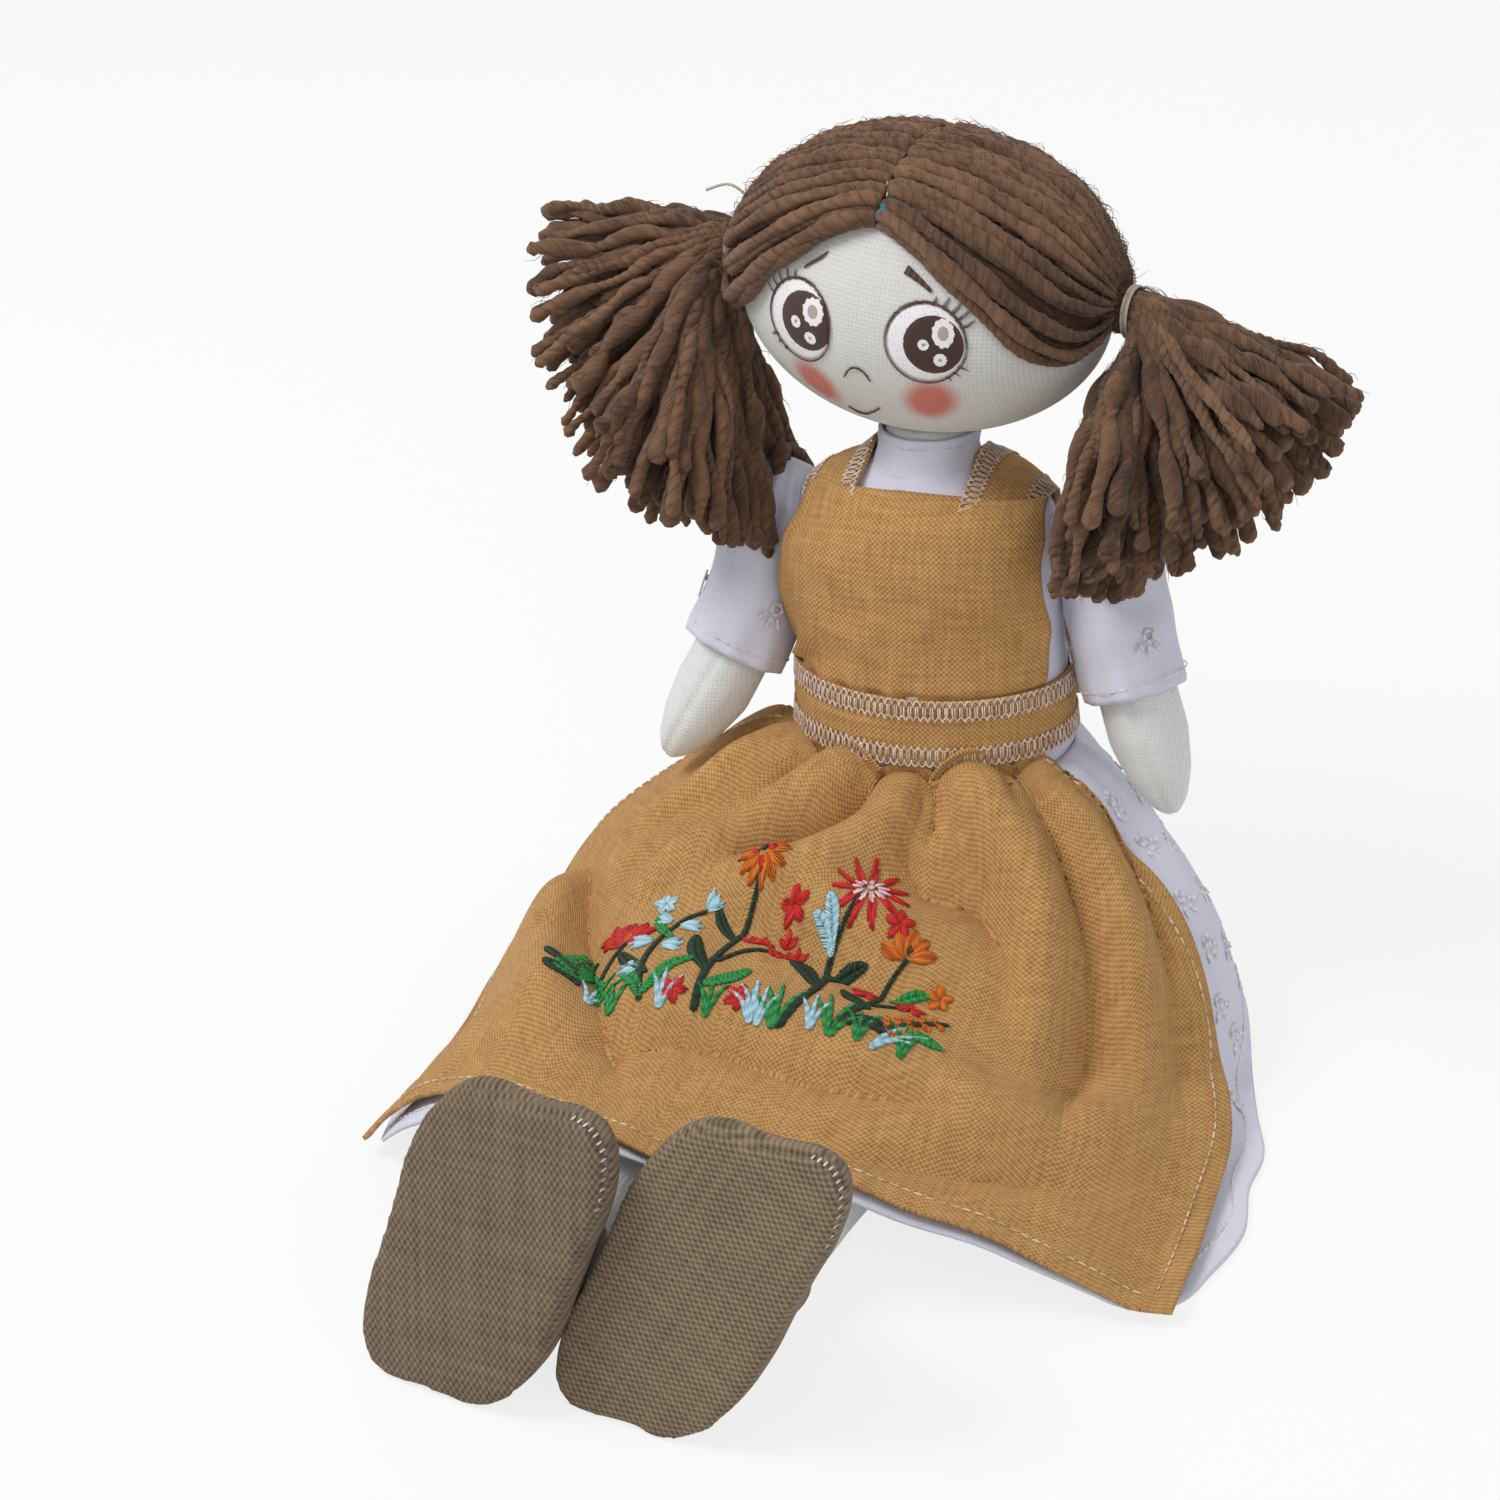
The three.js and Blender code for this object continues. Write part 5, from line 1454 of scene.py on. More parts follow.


# Sewn cloth: stitch rows and overlocked edges


def alongLine(line, shares):
    # Points of a line at shares of its length
    length = lengthsAlong(line)
    wanted = np.asarray(shares) * length[-1]
    return np.stack([np.interp(wanted, length, line[:, k]) for k in range(3)], 1)


def lineLength(line):
    return float(np.linalg.norm(np.diff(line, axis=0), axis=1).sum())


sewing = {
    "overlockPitch": 1.75, "overlockThread": 0.2, "stitchLength": 2.1, "stitchGap": 0.8, "stitchThread": 0.24,
}


def overlocked(name, edges, body, seed=5):
    # Overlock: a row of loops round the cut edge, straight threads inward, and a looped needle row
    random = np.random.RandomState(seed)
    paths, radii = [], []
    thread = sewing["overlockThread"] * mm
    for edge, inner in edges:
        count = max(4, int(lineLength(edge) / (sewing["overlockPitch"] * mm)))
        fine = np.linspace(0, 1, count * 12 + 1)
        phase = fine * count * 2 * np.pi
        a, b = alongLine(edge, fine), alongLine(inner, fine)
        toward = b - a
        step = np.gradient(a, axis=0) * 12 / (2 * np.pi)
        swell = 1 + 0.15 * wander(random, len(fine), 1.0, 8)
        for depth, loopTall, loopWide in ((0.13, 0.14, 0.95), (0.8, 0.1, 0.75)):
            high = loopTall * np.cos(phase) * swell
            paths.append(a + toward * (depth + high)[:, None] - step * (loopWide * np.sin(phase))[:, None])
            radii.append(thread)
        shares = (np.arange(count) + 0.5) / count
        for shift in (-0.17, 0.17):
            starts = np.clip(shares + (shift + random.uniform(-0.06, 0.06, count)) / count, 0, 1)
            ends = np.clip(shares + (shift * 0.8 + random.uniform(-0.06, 0.06, count)) / count, 0, 1)
            top = alongLine(edge, starts)
            foot = alongLine(inner, ends)
            for k in range(count):
                across = foot[k] - top[k]
                paths.append(np.array([top[k] + across * t for t in (0.24, 0.5, 0.74)]))
                radii.append(thread * 0.95)
    piece = strands(name, paths, radii, 5)
    return dressed(piece, overlockThread, body, None)


def stitched(name, lines, body, finish, radius=None):
    # Running stitches: short threads that dip at both ends
    radius = (radius or sewing["stitchThread"]) * mm
    drawn, pitch = sewing["stitchLength"] * mm, (sewing["stitchLength"] + sewing["stitchGap"]) * mm
    paths = []
    for line in lines:
        count = max(1, int(lineLength(line) / pitch))
        for k in range(count):
            paths.append(alongLine(line, (k + np.linspace(0, drawn / pitch, 5)) / count))
    radii = [radius * np.array([0.6, 1, 1, 1, 0.6])] * len(paths)
    return dressed(strands(name, paths, radii, 6), finish, body, None)


def crumple(shape, seed, size, waves):
    # Soft random folds over a grid, from a few crossing waves
    random = np.random.RandomState(seed)
    u, v = np.meshgrid(np.linspace(0, 1, shape[0]), np.linspace(0, 1, shape[1]), indexing="ij")
    total = np.zeros(shape)
    for _ in range(waves):
        turn = random.uniform(0, 2 * np.pi)
        rate = random.uniform(1.5, 6.0)
        shift = random.uniform(0, 2 * np.pi)
        total += np.sin(2 * np.pi * rate * (u * math.cos(turn) + v * math.sin(turn)) + shift) / rate
    return total * size


def closedCrumple(shape, seed, size, waves, seam=12):
    # The same for a piece that closes on itself: the folds end at its seam
    fromSeam = np.minimum(np.arange(shape[0]), shape[0] - 1 - np.arange(shape[0]))
    return crumple(shape, seed, size, waves) * np.minimum(1, fromSeam / seam)[:, None]


def bodyMiddle(height, side=0):
    # A place on the leaning body's middle line, or beside it, in metres
    return upperPlace @ Vector((side, 0, height)) * mm


# Dress top: bodice, collar band and short sleeves

bodice = {"from": 67.0, "to": 139.6, "outside": 1.6, "thickness": 0.9, "crumple": 0.35}
angles = np.linspace(0, 2 * np.pi, 121)
heights = np.linspace(bodice["from"], bodice["to"], 60)
gridAngle, gridHeight = np.meshgrid(angles, heights, indexing="ij")
fold = np.clip(closedCrumple(gridAngle.shape, 3, bodice["crumple"], 14), -0.3, 0.3)
bodicePlaces = moved(bodyPoint(gridHeight, gridAngle, bodice["outside"] + fold), upperPlace)
bodicePiece = sewn(
    "bodice_cloth", bodicePlaces, awayFrom(bodyMiddle(100)), bodice["thickness"], dressCotton, "torso",
    "dress", "dress_bodice", welded=True
)

collar = {
    "radius": 11.2, "seat": 137.0, "from": 138.6, "to": 148.4, "thickness": 1.0, "waves": 7, "wave": 0.45,
}
heights = np.linspace(0, 1, 24)
gridAngle, rise = np.meshgrid(angles, heights, indexing="ij")
radius = collar["radius"] + 0.9 + collar["wave"] * np.cos(collar["waves"] * gridAngle + 0.6) * (1 - rise)
height = collar["from"] + (collar["to"] - collar["from"]) * rise
ring = np.stack([radius * np.cos(gridAngle), radius * np.sin(gridAngle), height], -1)
# The band grows out of the bodice, so nothing parts the two
seat = bodyPoint(collar["seat"] + 0 * rise, gridAngle, bodice["outside"] - 0.4)
blend = smooth(rise / 0.55)[..., None]
ring = seat * (1 - blend) + ring * blend
ring[..., 2] += 0.35 * np.cos(5 * gridAngle + 1) * blend[..., 0] * (1 - rise)
collarPiece = sewn(
    "collar_band", moved(ring, upperPlace), awayFrom(bodyMiddle(145)), collar["thickness"], dressCotton,
    "torso", "dress", "dress_collar", welded=True
)
stitchRing, stitchLevel = collar["radius"] + 1.0, collar["to"] - 2.2
line = np.stack([stitchRing * np.cos(angles), stitchRing * np.sin(angles), 0 * angles + stitchLevel], -1)
stitched("collar_stitches", [moved(line, upperPlace)], "torso", hemWhite, radius=0.18)

sleeve = {
    "rows": ([-13.2, 0.2], [-12.4, 4.6], [-9, 8.8], [-2, 12.5], [16, 12.6], [36.6, 12.4]),
    "thickness": 0.9,
    "puff": 0.5,
    "gathers": 17,
    "hemLevel": 33.4,
    "top": -13.2,
    "length": 49.8,
    "around": 97,
    "down": 48,
}


def sleeveSpot(arm, level, angle, offset):
    # A place on a sleeve in the shoulder's frame. Its inner side is flat against the body.
    radius = splineRead(sleeve["rows"], level)[0] + offset
    turn = Vector((radius * math.cos(angle), radius * math.sin(angle), 0))
    point = np.array(armFrame(arm, level) @ turn)
    inner = arms["innerSide"] - arms["shoulder"][0] + offset * 0.3
    point[0] = arm["side"] * max(arm["side"] * point[0], inner)
    return point


for name, side in sides:
    arm = arms[name]
    around, down = sleeve["around"], sleeve["down"]
    levels = sleeve["top"] + sleeve["length"] * np.linspace(0, 1, down) ** 1.25
    turnsRound = np.linspace(0, 2 * np.pi, around)
    fold = closedCrumple((around, down), 20 + side, 0.7, 16, 10)
    local = np.empty((around, down, 3))
    for j, level in enumerate(levels):
        nearTop = 0.5 * math.exp(-((level + 4) / 8) ** 2)
        nearHem = 0.3 * math.exp(-((level - 36) / 9) ** 2)
        gathers = nearTop * np.cos(sleeve["gathers"] * turnsRound) + nearHem * np.cos(9 * turnsRound + side)
        gathers = (gathers + fold[:, j] * 0.6 + sleeve["puff"] * 0.5) * smooth((level - sleeve["top"]) / 2.5)
        for i, angle in enumerate(turnsRound):
            local[i, j] = sleeveSpot(arm, level, angle, gathers[i])
    places = moved(local, shoulderPlace(arm))
    centre = shoulderPlace(arm) @ armFrame(arm, 15).translation * mm
    piece = sewn(
        "sleeve_" + name + "_cloth", places, awayFrom(centre), sleeve["thickness"], dressCotton,
        "arm_" + name, "dress", "sleeve_" + name, welded=True
    )
    hem = moved([sleeveSpot(arm, sleeve["hemLevel"], a, 0.75) for a in turnsRound], shoulderPlace(arm))
    sleeveHem = stitched("sleeve_" + name + "_hem_stitches", [hem], "arm_" + name, hemWhite, radius=0.2)
print("dress top sewn")


# Pinafore: sash, bib and straps

sash = {
    "from": 72.2, "to": 88.8, "offset": 3.3, "thickness": 1.0, "overlockWidth": 5.6, "lift": 0.35,
    "crumple": 0.25,
}
heights = np.linspace(sash["from"], sash["to"], 26)
gridAngle, gridHeight = np.meshgrid(angles, heights, indexing="ij")
fold = closedCrumple(gridAngle.shape, 8, sash["crumple"], 10)
places = moved(bodyPoint(gridHeight, gridAngle, sash["offset"] + fold), upperPlace)
sashPiece = sewn(
    "sash_cloth", places, awayFrom(bodyMiddle(80)), sash["thickness"], linen, "torso", "linen", "sash",
    welded=True
)


def sashLine(height):
    turns = np.linspace(0, 2 * np.pi, 241)
    return moved(bodyPoint(np.full(241, height), turns, sash["offset"] + sash["lift"]), upperPlace)


edges = [
    (sashLine(sash["to"]), sashLine(sash["to"] - sash["overlockWidth"])),
    (sashLine(sash["from"]), sashLine(sash["from"] + sash["overlockWidth"])),
]
sashOverlock = overlocked("sash_overlock", edges, "torso", 6)

bib = {
    "halfWidth": 31.8,
    "from": 87.4,
    "to": 137.0,
    "corner": 4.0,
    "offset": 3.2,
    "stands": 2.6,
    "thickness": 1.2,
    "puff": 4.0,
    "puffHeight": 108.0,
    "pucker": 1.1,
}


def bibPoint(x, height, offset):
    # A place on the bib's front, which stands off the chest a little more above the waist
    lift = bib["stands"] * smooth((height - 96) / 24)
    chest = splineRead(bodyRows, np.minimum(height, 120))
    here = splineRead(bodyRows, height)
    angle = np.arccos(np.clip(x / (chest[..., 0] + offset + lift), -0.985, 0.985))
    y = -(here[..., 1] + offset + lift) * np.sin(angle)
    return np.stack([x + 0 * height, y, height], -1)


gridX, gridHeight = np.meshgrid(
    np.linspace(-1, 1, 90) * bib["halfWidth"], np.linspace(bib["from"], bib["to"], 80), indexing="ij"
)
share = gridX / bib["halfWidth"]
rise = (gridHeight - bib["from"]) / (bib["to"] - bib["from"])
# The bib puffs out on the doll's right, puckers at the corner there and ripples over the sash
puff = bib["puff"] * np.exp(-((gridHeight - bib["puffHeight"]) / 11) ** 2) * smooth((-share - 0.2) / 0.8)
corner = np.hypot(share + 0.95, rise * 1.3)
pucker = bib["pucker"] * np.exp(-(corner / 0.35) ** 2) * np.cos(np.arctan2(rise, share + 1.05) * 9)
foot = 0.7 * np.cos(share * 21 + 1.1) * np.exp(-(rise / 0.16) ** 2) * smooth((0.5 - share) / 0.5)
wave = crumple(gridX.shape, 12, 0.5, 12)
local = bibPoint(gridX, gridHeight, bib["offset"])
out = unit(np.stack([share, -np.sqrt(np.maximum(0.05, 1 - share ** 2)), 0 * share], -1))
stand = np.maximum(puff + pucker + foot + wave * np.minimum(1, rise * 5), -0.5)
tucked = -1.1 * (1 - smooth((gridHeight - 88.4) / 2.5))
local = local + out * (stand + tucked)[..., None]
# The upper corner on the doll's right is drawn in
drawn = smooth((-share - 0.45) / 0.55) * smooth((rise - 0.66) / 0.34)
local[..., 0] += bib["corner"] * drawn
local[..., 2] -= 0.35 * bib["corner"] * drawn * smooth((-share - 0.7) / 0.3)
roll = smooth((rise - 0.93) / 0.07)
local[..., 1] += 0.9 * roll
local[..., 2] += 0.6 * np.cos(share * 2.4 + 0.4) * smooth((rise - 0.6) / 0.4)
places = moved(local, upperPlace)
bibPiece = sewn(
    "bib_cloth", places, awayFrom(bodyMiddle(110)), bib["thickness"], linen, "torso", "linen", "bib"
)

strap = {
    "inner": 9.0, "width": 17.0, "offset": 3.3, "thickness": 1.0, "shoulderShift": 4.4, "from": 119.0,
    "overlockWidth": 4.6, "columns": 14, "along": 110,
}
for name, side in sides:
    columns, along = strap["columns"], strap["along"]
    local = np.empty((columns, along, 3))
    for i in range(columns):
        # Each thread of the strap goes up the chest, over the shoulder and down the back
        scan = np.linspace(89.4, 141, 600)
        halves = splineRead(bodyRows, scan) + strap["offset"]
        x = strap["inner"] + strap["width"] * i / (columns - 1)
        x = x + strap["shoulderShift"] * smooth((scan - 118) / 17)
        past = halves[:, 0] - x <= 0
        last = int(np.argmax(past)) if past.any() else len(scan) - 1
        scan, halves, x = scan[:last], halves[:last], x[:last]
        y = halves[:, 1] * np.sqrt(np.maximum(0, 1 - (x / halves[:, 0]) ** 2))
        z = scan + strap["offset"] * np.clip((scan - 124) / 10, 0, 1)
        front = scan >= strap["from"]
        line = np.concatenate([
            np.stack([side * x[front], -y[front], z[front]], 1), np.stack([side * x, y, z], 1)[::-1]
        ])
        local[i] = alongLine(line, np.linspace(0, 1, along))
    for _ in range(3):
        local[:, 1:-1] = (local[:, :-2] + 2 * local[:, 1:-1] + local[:, 2:]) / 4
    places = moved(local, upperPlace)
    middle = bodyMiddle(115, side * 15)
    piece = sewn(
        "strap_" + name + "_cloth", places, awayFrom(middle), strap["thickness"], linen, "torso", "linen",
        "strap_" + name
    )
    normal = unit(np.cross(np.gradient(places, axis=0), np.gradient(places, axis=1)))
    normal = normal * np.sign(((places - np.array(middle)) * normal).sum(-1))[..., None]
    lifted = places + normal * sash["lift"] * mm
    inner = strap["overlockWidth"] / strap["width"] * (columns - 1)
    low = int(inner)
    share = inner - low
    left = lifted[low] * (1 - share) + lifted[low + 1] * share
    right = lifted[-1 - low] * (1 - share) + lifted[-2 - low] * share
    edges = [(lifted[0], left), (lifted[-1], right)]
    thread = overlocked("strap_" + name + "_overlock", edges, "torso", 9 + side)
print("pinafore top sewn")

# The bow behind: two loops of the sash, a knot round them and two tails on the skirt
bow = {
    "middle": (0.0, 28.8, 81.0), "knot": 7.0, "reach": 30.0, "height": 15.0, "thickness": 1.0, "depth": 4.2,
    "near": 6.5, "pinch": 3.2, "drop": 3.0,
}
bowPlace = upperPlace @ Matrix.Translation(bow["middle"])
knotPiece = softCopy("bow_knot_cloth", ["bow_knot"], 0.8, 6)
# Creases run over the knot, and its cloth is laid out as it is seen from behind
knotPoints = pointsOf(knotPiece)
across = (knotPoints - knotPoints.mean(axis=0)) / mm
drawnIn(knotPiece, 0.35 + 0.35 * np.cos(across[:, 0] * 1.3 + 0.25 * across[:, 2]))
setFlat(knotPiece, knotPoints[:, [0, 2]])
dressed(knotPiece, linen, "torso", "linen", "bow_knot")
for name, side in sides:
    t = np.linspace(0, 1, 90)[:, None]
    v = np.linspace(-1, 1, 18)[None, :]
    out = np.sin(np.pi * t)
    reach = bow["near"] + (bow["reach"] - bow["near"]) * out ** 0.75
    deep = bow["knot"] / 2 + bow["depth"] * np.sin(2 * np.pi * t) * 0.9
    tall = bow["pinch"] + (bow["height"] / 2 - bow["pinch"] + 1.5) * smooth(out * 1.2)
    ripple = 0.5 * np.cos(v * 7 + 2 * out) * (1 - 0.6 * out)
    rise = tall * v - bow["drop"] * (reach / bow["reach"])
    local = np.stack([side * (reach + 0 * v), deep + ripple, rise], -1)
    places = moved(local, bowPlace)
    piece = walled(clothGrid("bow_loop_" + name + "_cloth", places), bow["thickness"], 0.0)
    dressed(piece, linen, "torso", "linen", "bow_loop_" + name)
    share = np.linspace(0, 1, 40)[None, :]
    width = np.linspace(0, 2, 12)[:, None]
    x = waist[0] + side * (1.2 + 7 * share + width * (5 + share))
    y = waist[1] + skirt["waistDepth"] + 3.4 + 15 * share + 0 * width
    places = onSkirt(x, y, 2.6) * mm
    places[..., 2] += 5.6 * (1 - share) ** 4 * mm
    piece = sewn(
        "bow_tail_" + name + "_cloth", places, lambda centre: Vector((0, 0.3, 1)), bow["thickness"], linen,
        "torso", "linen", "bow_tail_" + name
    )
print("bow tied")


# Hems of the skirts

def insideLine(lines, inset):
    # A line a fixed way in from where each of some lines starts
    return np.array([alongLine(line, [inset * mm / lineLength(line)])[0] for line in lines])


def gridNormals(places):
    normal = unit(np.cross(np.gradient(places, axis=0), np.gradient(places, axis=1)))
    return normal * np.sign(normal[..., 2:3] + 1e-9)


raised = apronPlaces + gridNormals(apronPlaces) * 0.2 * mm
inset = apron["hemWidth"] - 0.8
firstRow = 14
acrossRows = np.swapaxes(raised[:, firstRow:-8], 0, 1)
hemLines = [insideLine(lines, inset) for lines in (raised[8:-8, ::-1], acrossRows, acrossRows[:, ::-1])]
apronStitches = bent(stitched("apron_hem_stitches", hemLines, None, hemThread))
normals = gridNormals(dressPlaces)
hemLine = insideLine((dressPlaces + normals * 0.2 * mm)[:, ::-1], dress["hemWidth"])
dressStitches = bent(stitched("dress_hem_stitches", [hemLine], None, hemWhite, radius=0.2))

# Openwork in the dress cotton: stitched eyelets with a sprig of satin leaves, in shifted rows
openwork = {
    "inner": 0.95, "outer": 2.0, "spokes": 18, "thread": 0.2, "leaf": 3.4, "across": 17.0, "down": 13.0,
}
# Each eyelet's hole is shown by a grey-blue ball sunk in the cloth, so that only its cap shows: painted shade
# where the hole's shadow falls
holeShade, _, holeShader = newFinish("painted shade in an eyelet hole", 0.95)
holeShader.inputs["Base Color"].default_value = linear("#bcbac6")


def eyeletThreads(centre, up, down, turn, size, paths, radii, holes):
    # A ring of spokes round a hole, and three leaves of slanting threads below it
    beside = np.cross(up, down)
    cosine, sine = math.cos(turn), math.sin(turn)
    down, beside = down * cosine + beside * sine, beside * cosine - down * sine
    scale = size * mm
    for k in range(openwork["spokes"]):
        at = k / openwork["spokes"] * 2 * math.pi
        way = down * math.cos(at) + beside * math.sin(at)
        near, far = openwork["inner"] * scale, openwork["outer"] * (1 + 0.08 * (k % 2)) * scale
        lifted = centre + way * (near + far) / 2 + up * 0.14 * mm
        paths.append(np.array([centre + way * near, lifted, centre + way * far]))
        radii.append(openwork["thread"] * 1.15 * mm)
    # The hole itself: a sunk grey-blue disc of painted shade
    across = np.linspace(-1, 1, 5)[:, None] * openwork["inner"] * scale
    holes.append(centre + down * across - up * 0.75 * scale)
    for lean in (-0.7, 0.0, 0.7):
        way = down * math.cos(lean) - beside * math.sin(lean)
        side = np.cross(up, way)
        for k in range(9):
            t = (k + 0.5) / 9
            wide = 0.75 * math.sin(math.pi * t) * scale
            at = centre + way * (openwork["outer"] + 0.5 + t * openwork["leaf"]) * scale
            slant = side * wide + way * wide * 0.8
            paths.append(np.array([at - slant, at + up * 0.08 * mm, at + slant]))
            radii.append(openwork["thread"] * mm)


def eyeletPieces(name, spots, body):
    # Spots are a centre, an outward and a downward direction, a turn and a size
    paths, radii, holes = [], [], []
    for spot in spots:
        eyeletThreads(*spot, paths, radii, holes)
    threads = dressed(strands(name + "_openwork", paths, radii, 5), hemWhite, body, None)
    rounds = [np.sqrt(1 - np.linspace(-0.97, 0.97, 5) ** 2) * openwork["inner"] * mm] * len(holes)
    shades = dressed(strands(name + "_eyelet_shade", holes, rounds, 10), holeShade, body, None)
    return threads, shades


lengthsDown = flatMap(dressPlaces)[..., 1]
spots = []
random = np.random.RandomState(31)
rowCount = int(lengthsDown[:, -1].max() / (openwork["down"] * mm))
for row in range(rowCount):
    fromHem = (11 + row * openwork["down"]) * mm
    reach, previous = 0.0, None
    for i in range(dress["around"] - 1):
        if lengthsDown[i, -1] < fromHem + 9 * mm:
            previous = None
            continue
        j = int(np.argmin(np.abs(lengthsDown[i, -1] - lengthsDown[i] - fromHem)))
        if previous is not None:
            reach += float(np.linalg.norm(dressPlaces[i, j] - previous))
        previous = dressPlaces[i, j]
        if reach >= openwork["across"] * mm * (0.5 if row % 2 and not spots else 1.0):
            reach = 0.0
            # Nothing is drawn where the apron lies over the dress
            plan = dressPlaces[i, j][:2] / mm + seatShift[:2]
            gaps = np.hypot(apronPlan[..., 0] - plan[0], apronPlan[..., 1] - plan[1])
            if gaps.min() > 2.5:
                last = dressPlaces.shape[1] - 1
                down = unit(dressPlaces[i, min(j + 1, last)] - dressPlaces[i, max(j - 1, 0)])
                turn, size = random.uniform(-0.5, 0.5), random.uniform(0.9, 1.1)
                spots.append((dressPlaces[i, j], normals[i, j], down, turn, size))
dressEyelets = [bent(piece) for piece in eyeletPieces("dress", spots, None)]
for name, side in sides:
    arm = arms[name]
    spots = []
    for level, count, shift in ((5.0, 3, 0.3), (22.0, 3, 1.3)):
        for k in range(count):
            angle = 2 * math.pi * k / count + shift
            at, ahead, around = (
                moved(sleeveSpot(arm, lv, an, 0.95), shoulderPlace(arm))
                for lv, an in ((level, angle), (level + 1, angle), (level, angle + 0.1))
            )
            down = unit(ahead - at)
            up = unit(np.cross(down, unit(around - at)))
            centre = moved(armFrame(arm, level).translation, shoulderPlace(arm))
            if (at - centre) @ up < 0:
                up = -up
            if abs((at - centre) @ up) > 8 * mm:
                spots.append((at, up, down, random.uniform(-0.4, 0.4), 0.9))
    eyeletPieces("sleeve_" + name, spots, "arm_" + name)
print("hems and openwork sewn")


# Wild flowers embroidered on the apron, drawn in millimetres on the cloth: along and up

flowers = {
    "foot": (-13.0, -99.0),
    "turn": 3.0,
    "thread": 0.34,
    "pitch": 0.48,
    "lift": 0.35,
}
flowerThreads = {
    "dark_green": ("#20402a", "#13261a"),
    "leaf_green": ("#37a354", "#1f7038"),
    "red": ("#dc2b2a", "#a01a1c"),
    "orange": ("#e27a1c", "#a8500f"),
    "pale_blue": ("#c0e4ee", "#8fbccb"),
    "pink_white": ("#f6dede", "#d0a9ab"),
}
flowerPaths = {key: [] for key in flowerThreads}
flowerRadii = {key: [] for key in flowerThreads}
random = np.random.RandomState(23)


def onApron(points, lift):
    # Places on the apron of points drawn along and up from the flowers' foot
    turn = math.radians(flowers["turn"])
    points = np.asarray(points, float)
    x = flowers["foot"][0] + points[:, 0] * math.cos(turn) - points[:, 1] * math.sin(turn)
    y = flowers["foot"][1] + points[:, 0] * math.sin(turn) + points[:, 1] * math.cos(turn)
    return onSkirt(x, y, apron["offset"] + lift) * mm


def threadOn(colourName, points, thick=1.0, lift=0.0):
    # One thread, which rises a little between its ends
    count = len(points)
    high = np.sin(np.linspace(0.35, np.pi - 0.35, count)) * 0.25
    drawn = np.concatenate([np.asarray(points, float), (flowers["lift"] * 0.4 + lift + high)[:, None]], 1)
    flowerPaths[colourName].append(drawn)
    flowerRadii[colourName].append(np.full(count, flowers["thread"] * thick * mm))


def satin(colourName, middle, widths, slant=1.0):
    # Fills a shape with threads laid side by side across its middle line
    line = curved(middle, 60)
    length = lengthsAlong(line)
    count = max(3, int(length[-1] / flowers["pitch"]))
    for k in range(count):
        share = (k + 0.5) / count
        at, ahead = [
            np.array([np.interp(place * length[-1], length, line[:, c]) for c in (0, 1)])
            for place in (share, min(share + 0.03, 1))
        ]
        way = unit(ahead - at)
        across = np.array([-way[1], way[0]])
        half = np.interp(share, np.linspace(0, 1, len(widths)), widths) * random.uniform(0.88, 1.08) / 2
        ends = [at + across * half * end + way * slant * half for end in (-1, 1)]
        threadOn(colourName, [ends[0], at + way * 0.1, ends[1]])


def stemOn(middle, widths):
    satin("dark_green", middle, widths)


def leafOn(colourName, foot, tip, width, curve=0.0):
    # A leaf: two rows of slanting threads that meet at its middle
    foot, tip = np.array(foot, float), np.array(tip, float)
    way = unit(tip - foot)
    side = np.array([-way[1], way[0]])
    line = curved((foot, (foot + tip) / 2 + side * curve, tip), 40)
    count = max(4, int(np.linalg.norm(tip - foot) / flowers["pitch"]))
    for k in range(count):
        share = k / count
        at = line[int(share * 39)]
        wide = width / 2 * math.sin(math.pi * min(1, share * 0.92 + 0.08)) ** 0.8
        for turn in (-1, 1):
            out = side * turn * wide + way * wide * 0.9
            threadOn(colourName, [at, at + out * 0.55, at + out])


def petalOn(colourName, centre, angle, length, width, start=0.25, tone=None):
    # A petal: threads that run out from the flower's middle
    count = max(3, int(width / flowers["pitch"]))
    for k in range(count):
        off = (k + 0.5) / count * 2 - 1
        turn = math.radians(angle) + off * width / length * 0.5
        reach = length * (1 - 0.35 * off ** 2) * random.uniform(0.93, 1.04)
        way = np.array([math.cos(turn), math.sin(turn)])
        side = np.array([-way[1], way[0]]) * off * width * 0.16
        middle = np.array(centre, float)
        foot = middle + way * length * start
        threadOn(colourName, [foot, middle + way * reach * 0.65 + side, middle + way * reach])
        if tone:
            threadOn(tone, [foot, middle + way * reach * 0.5 + side * 0.6], 0.8, 0.35)


def petalsOn(colourName, centre, count, step, first, *petal):
    # Petals at even angles round a flower's middle
    for k in range(count):
        petalOn(colourName, centre, k * step + first, *petal)


def grassOn(colourName, foot, tips, width=1.1):
    # Blades that bow up from one foot
    for tip in tips:
        middle = ((foot[0] + tip[0]) / 2, (foot[1] + tip[1]) / 2 + 1.2)
        satin(colourName, (foot, middle, tip), (width, width * 0.9, 0.3), 1.6)


def sprigOn(leafColour, middle, pairs, size, width=1.6):
    # A stem with pairs of leaves, smaller toward its tip
    line = curved(middle, 50)
    stemOn(middle, (1.3, 1.1, 0.7))
    for k in range(pairs):
        share = 0.22 + 0.74 * k / pairs
        spot = int(share * 49)
        way = unit(line[min(49, spot + 2)] - line[max(0, spot - 2)])
        reach = size * (1 - 0.55 * share)
        for turn in (-1, 1):
            side = np.array([-way[1], way[0]]) * turn
            leafOn(leafColour, line[spot], line[spot] + side * reach * 0.85 + way * reach * 0.6, width)


# Left: a red tulip between ferns
sprigOn("leaf_green", ((-44, 2), (-47, 9), (-46, 19)), 6, 5.5)
stemOn(((-36, 1), (-37, 9), (-34, 17)), (1.2, 1.1, 1.0))
petalsOn("red", (-34, 16), 5, 20, 52, 8.2, 3.2, 0.1)
petalOn("orange", (-34, 17), 92, 4.2, 2.2, 0.1)
grassOn("leaf_green", (-38, -1), ((-42, 7), (-33, 8), (-30, 5)))
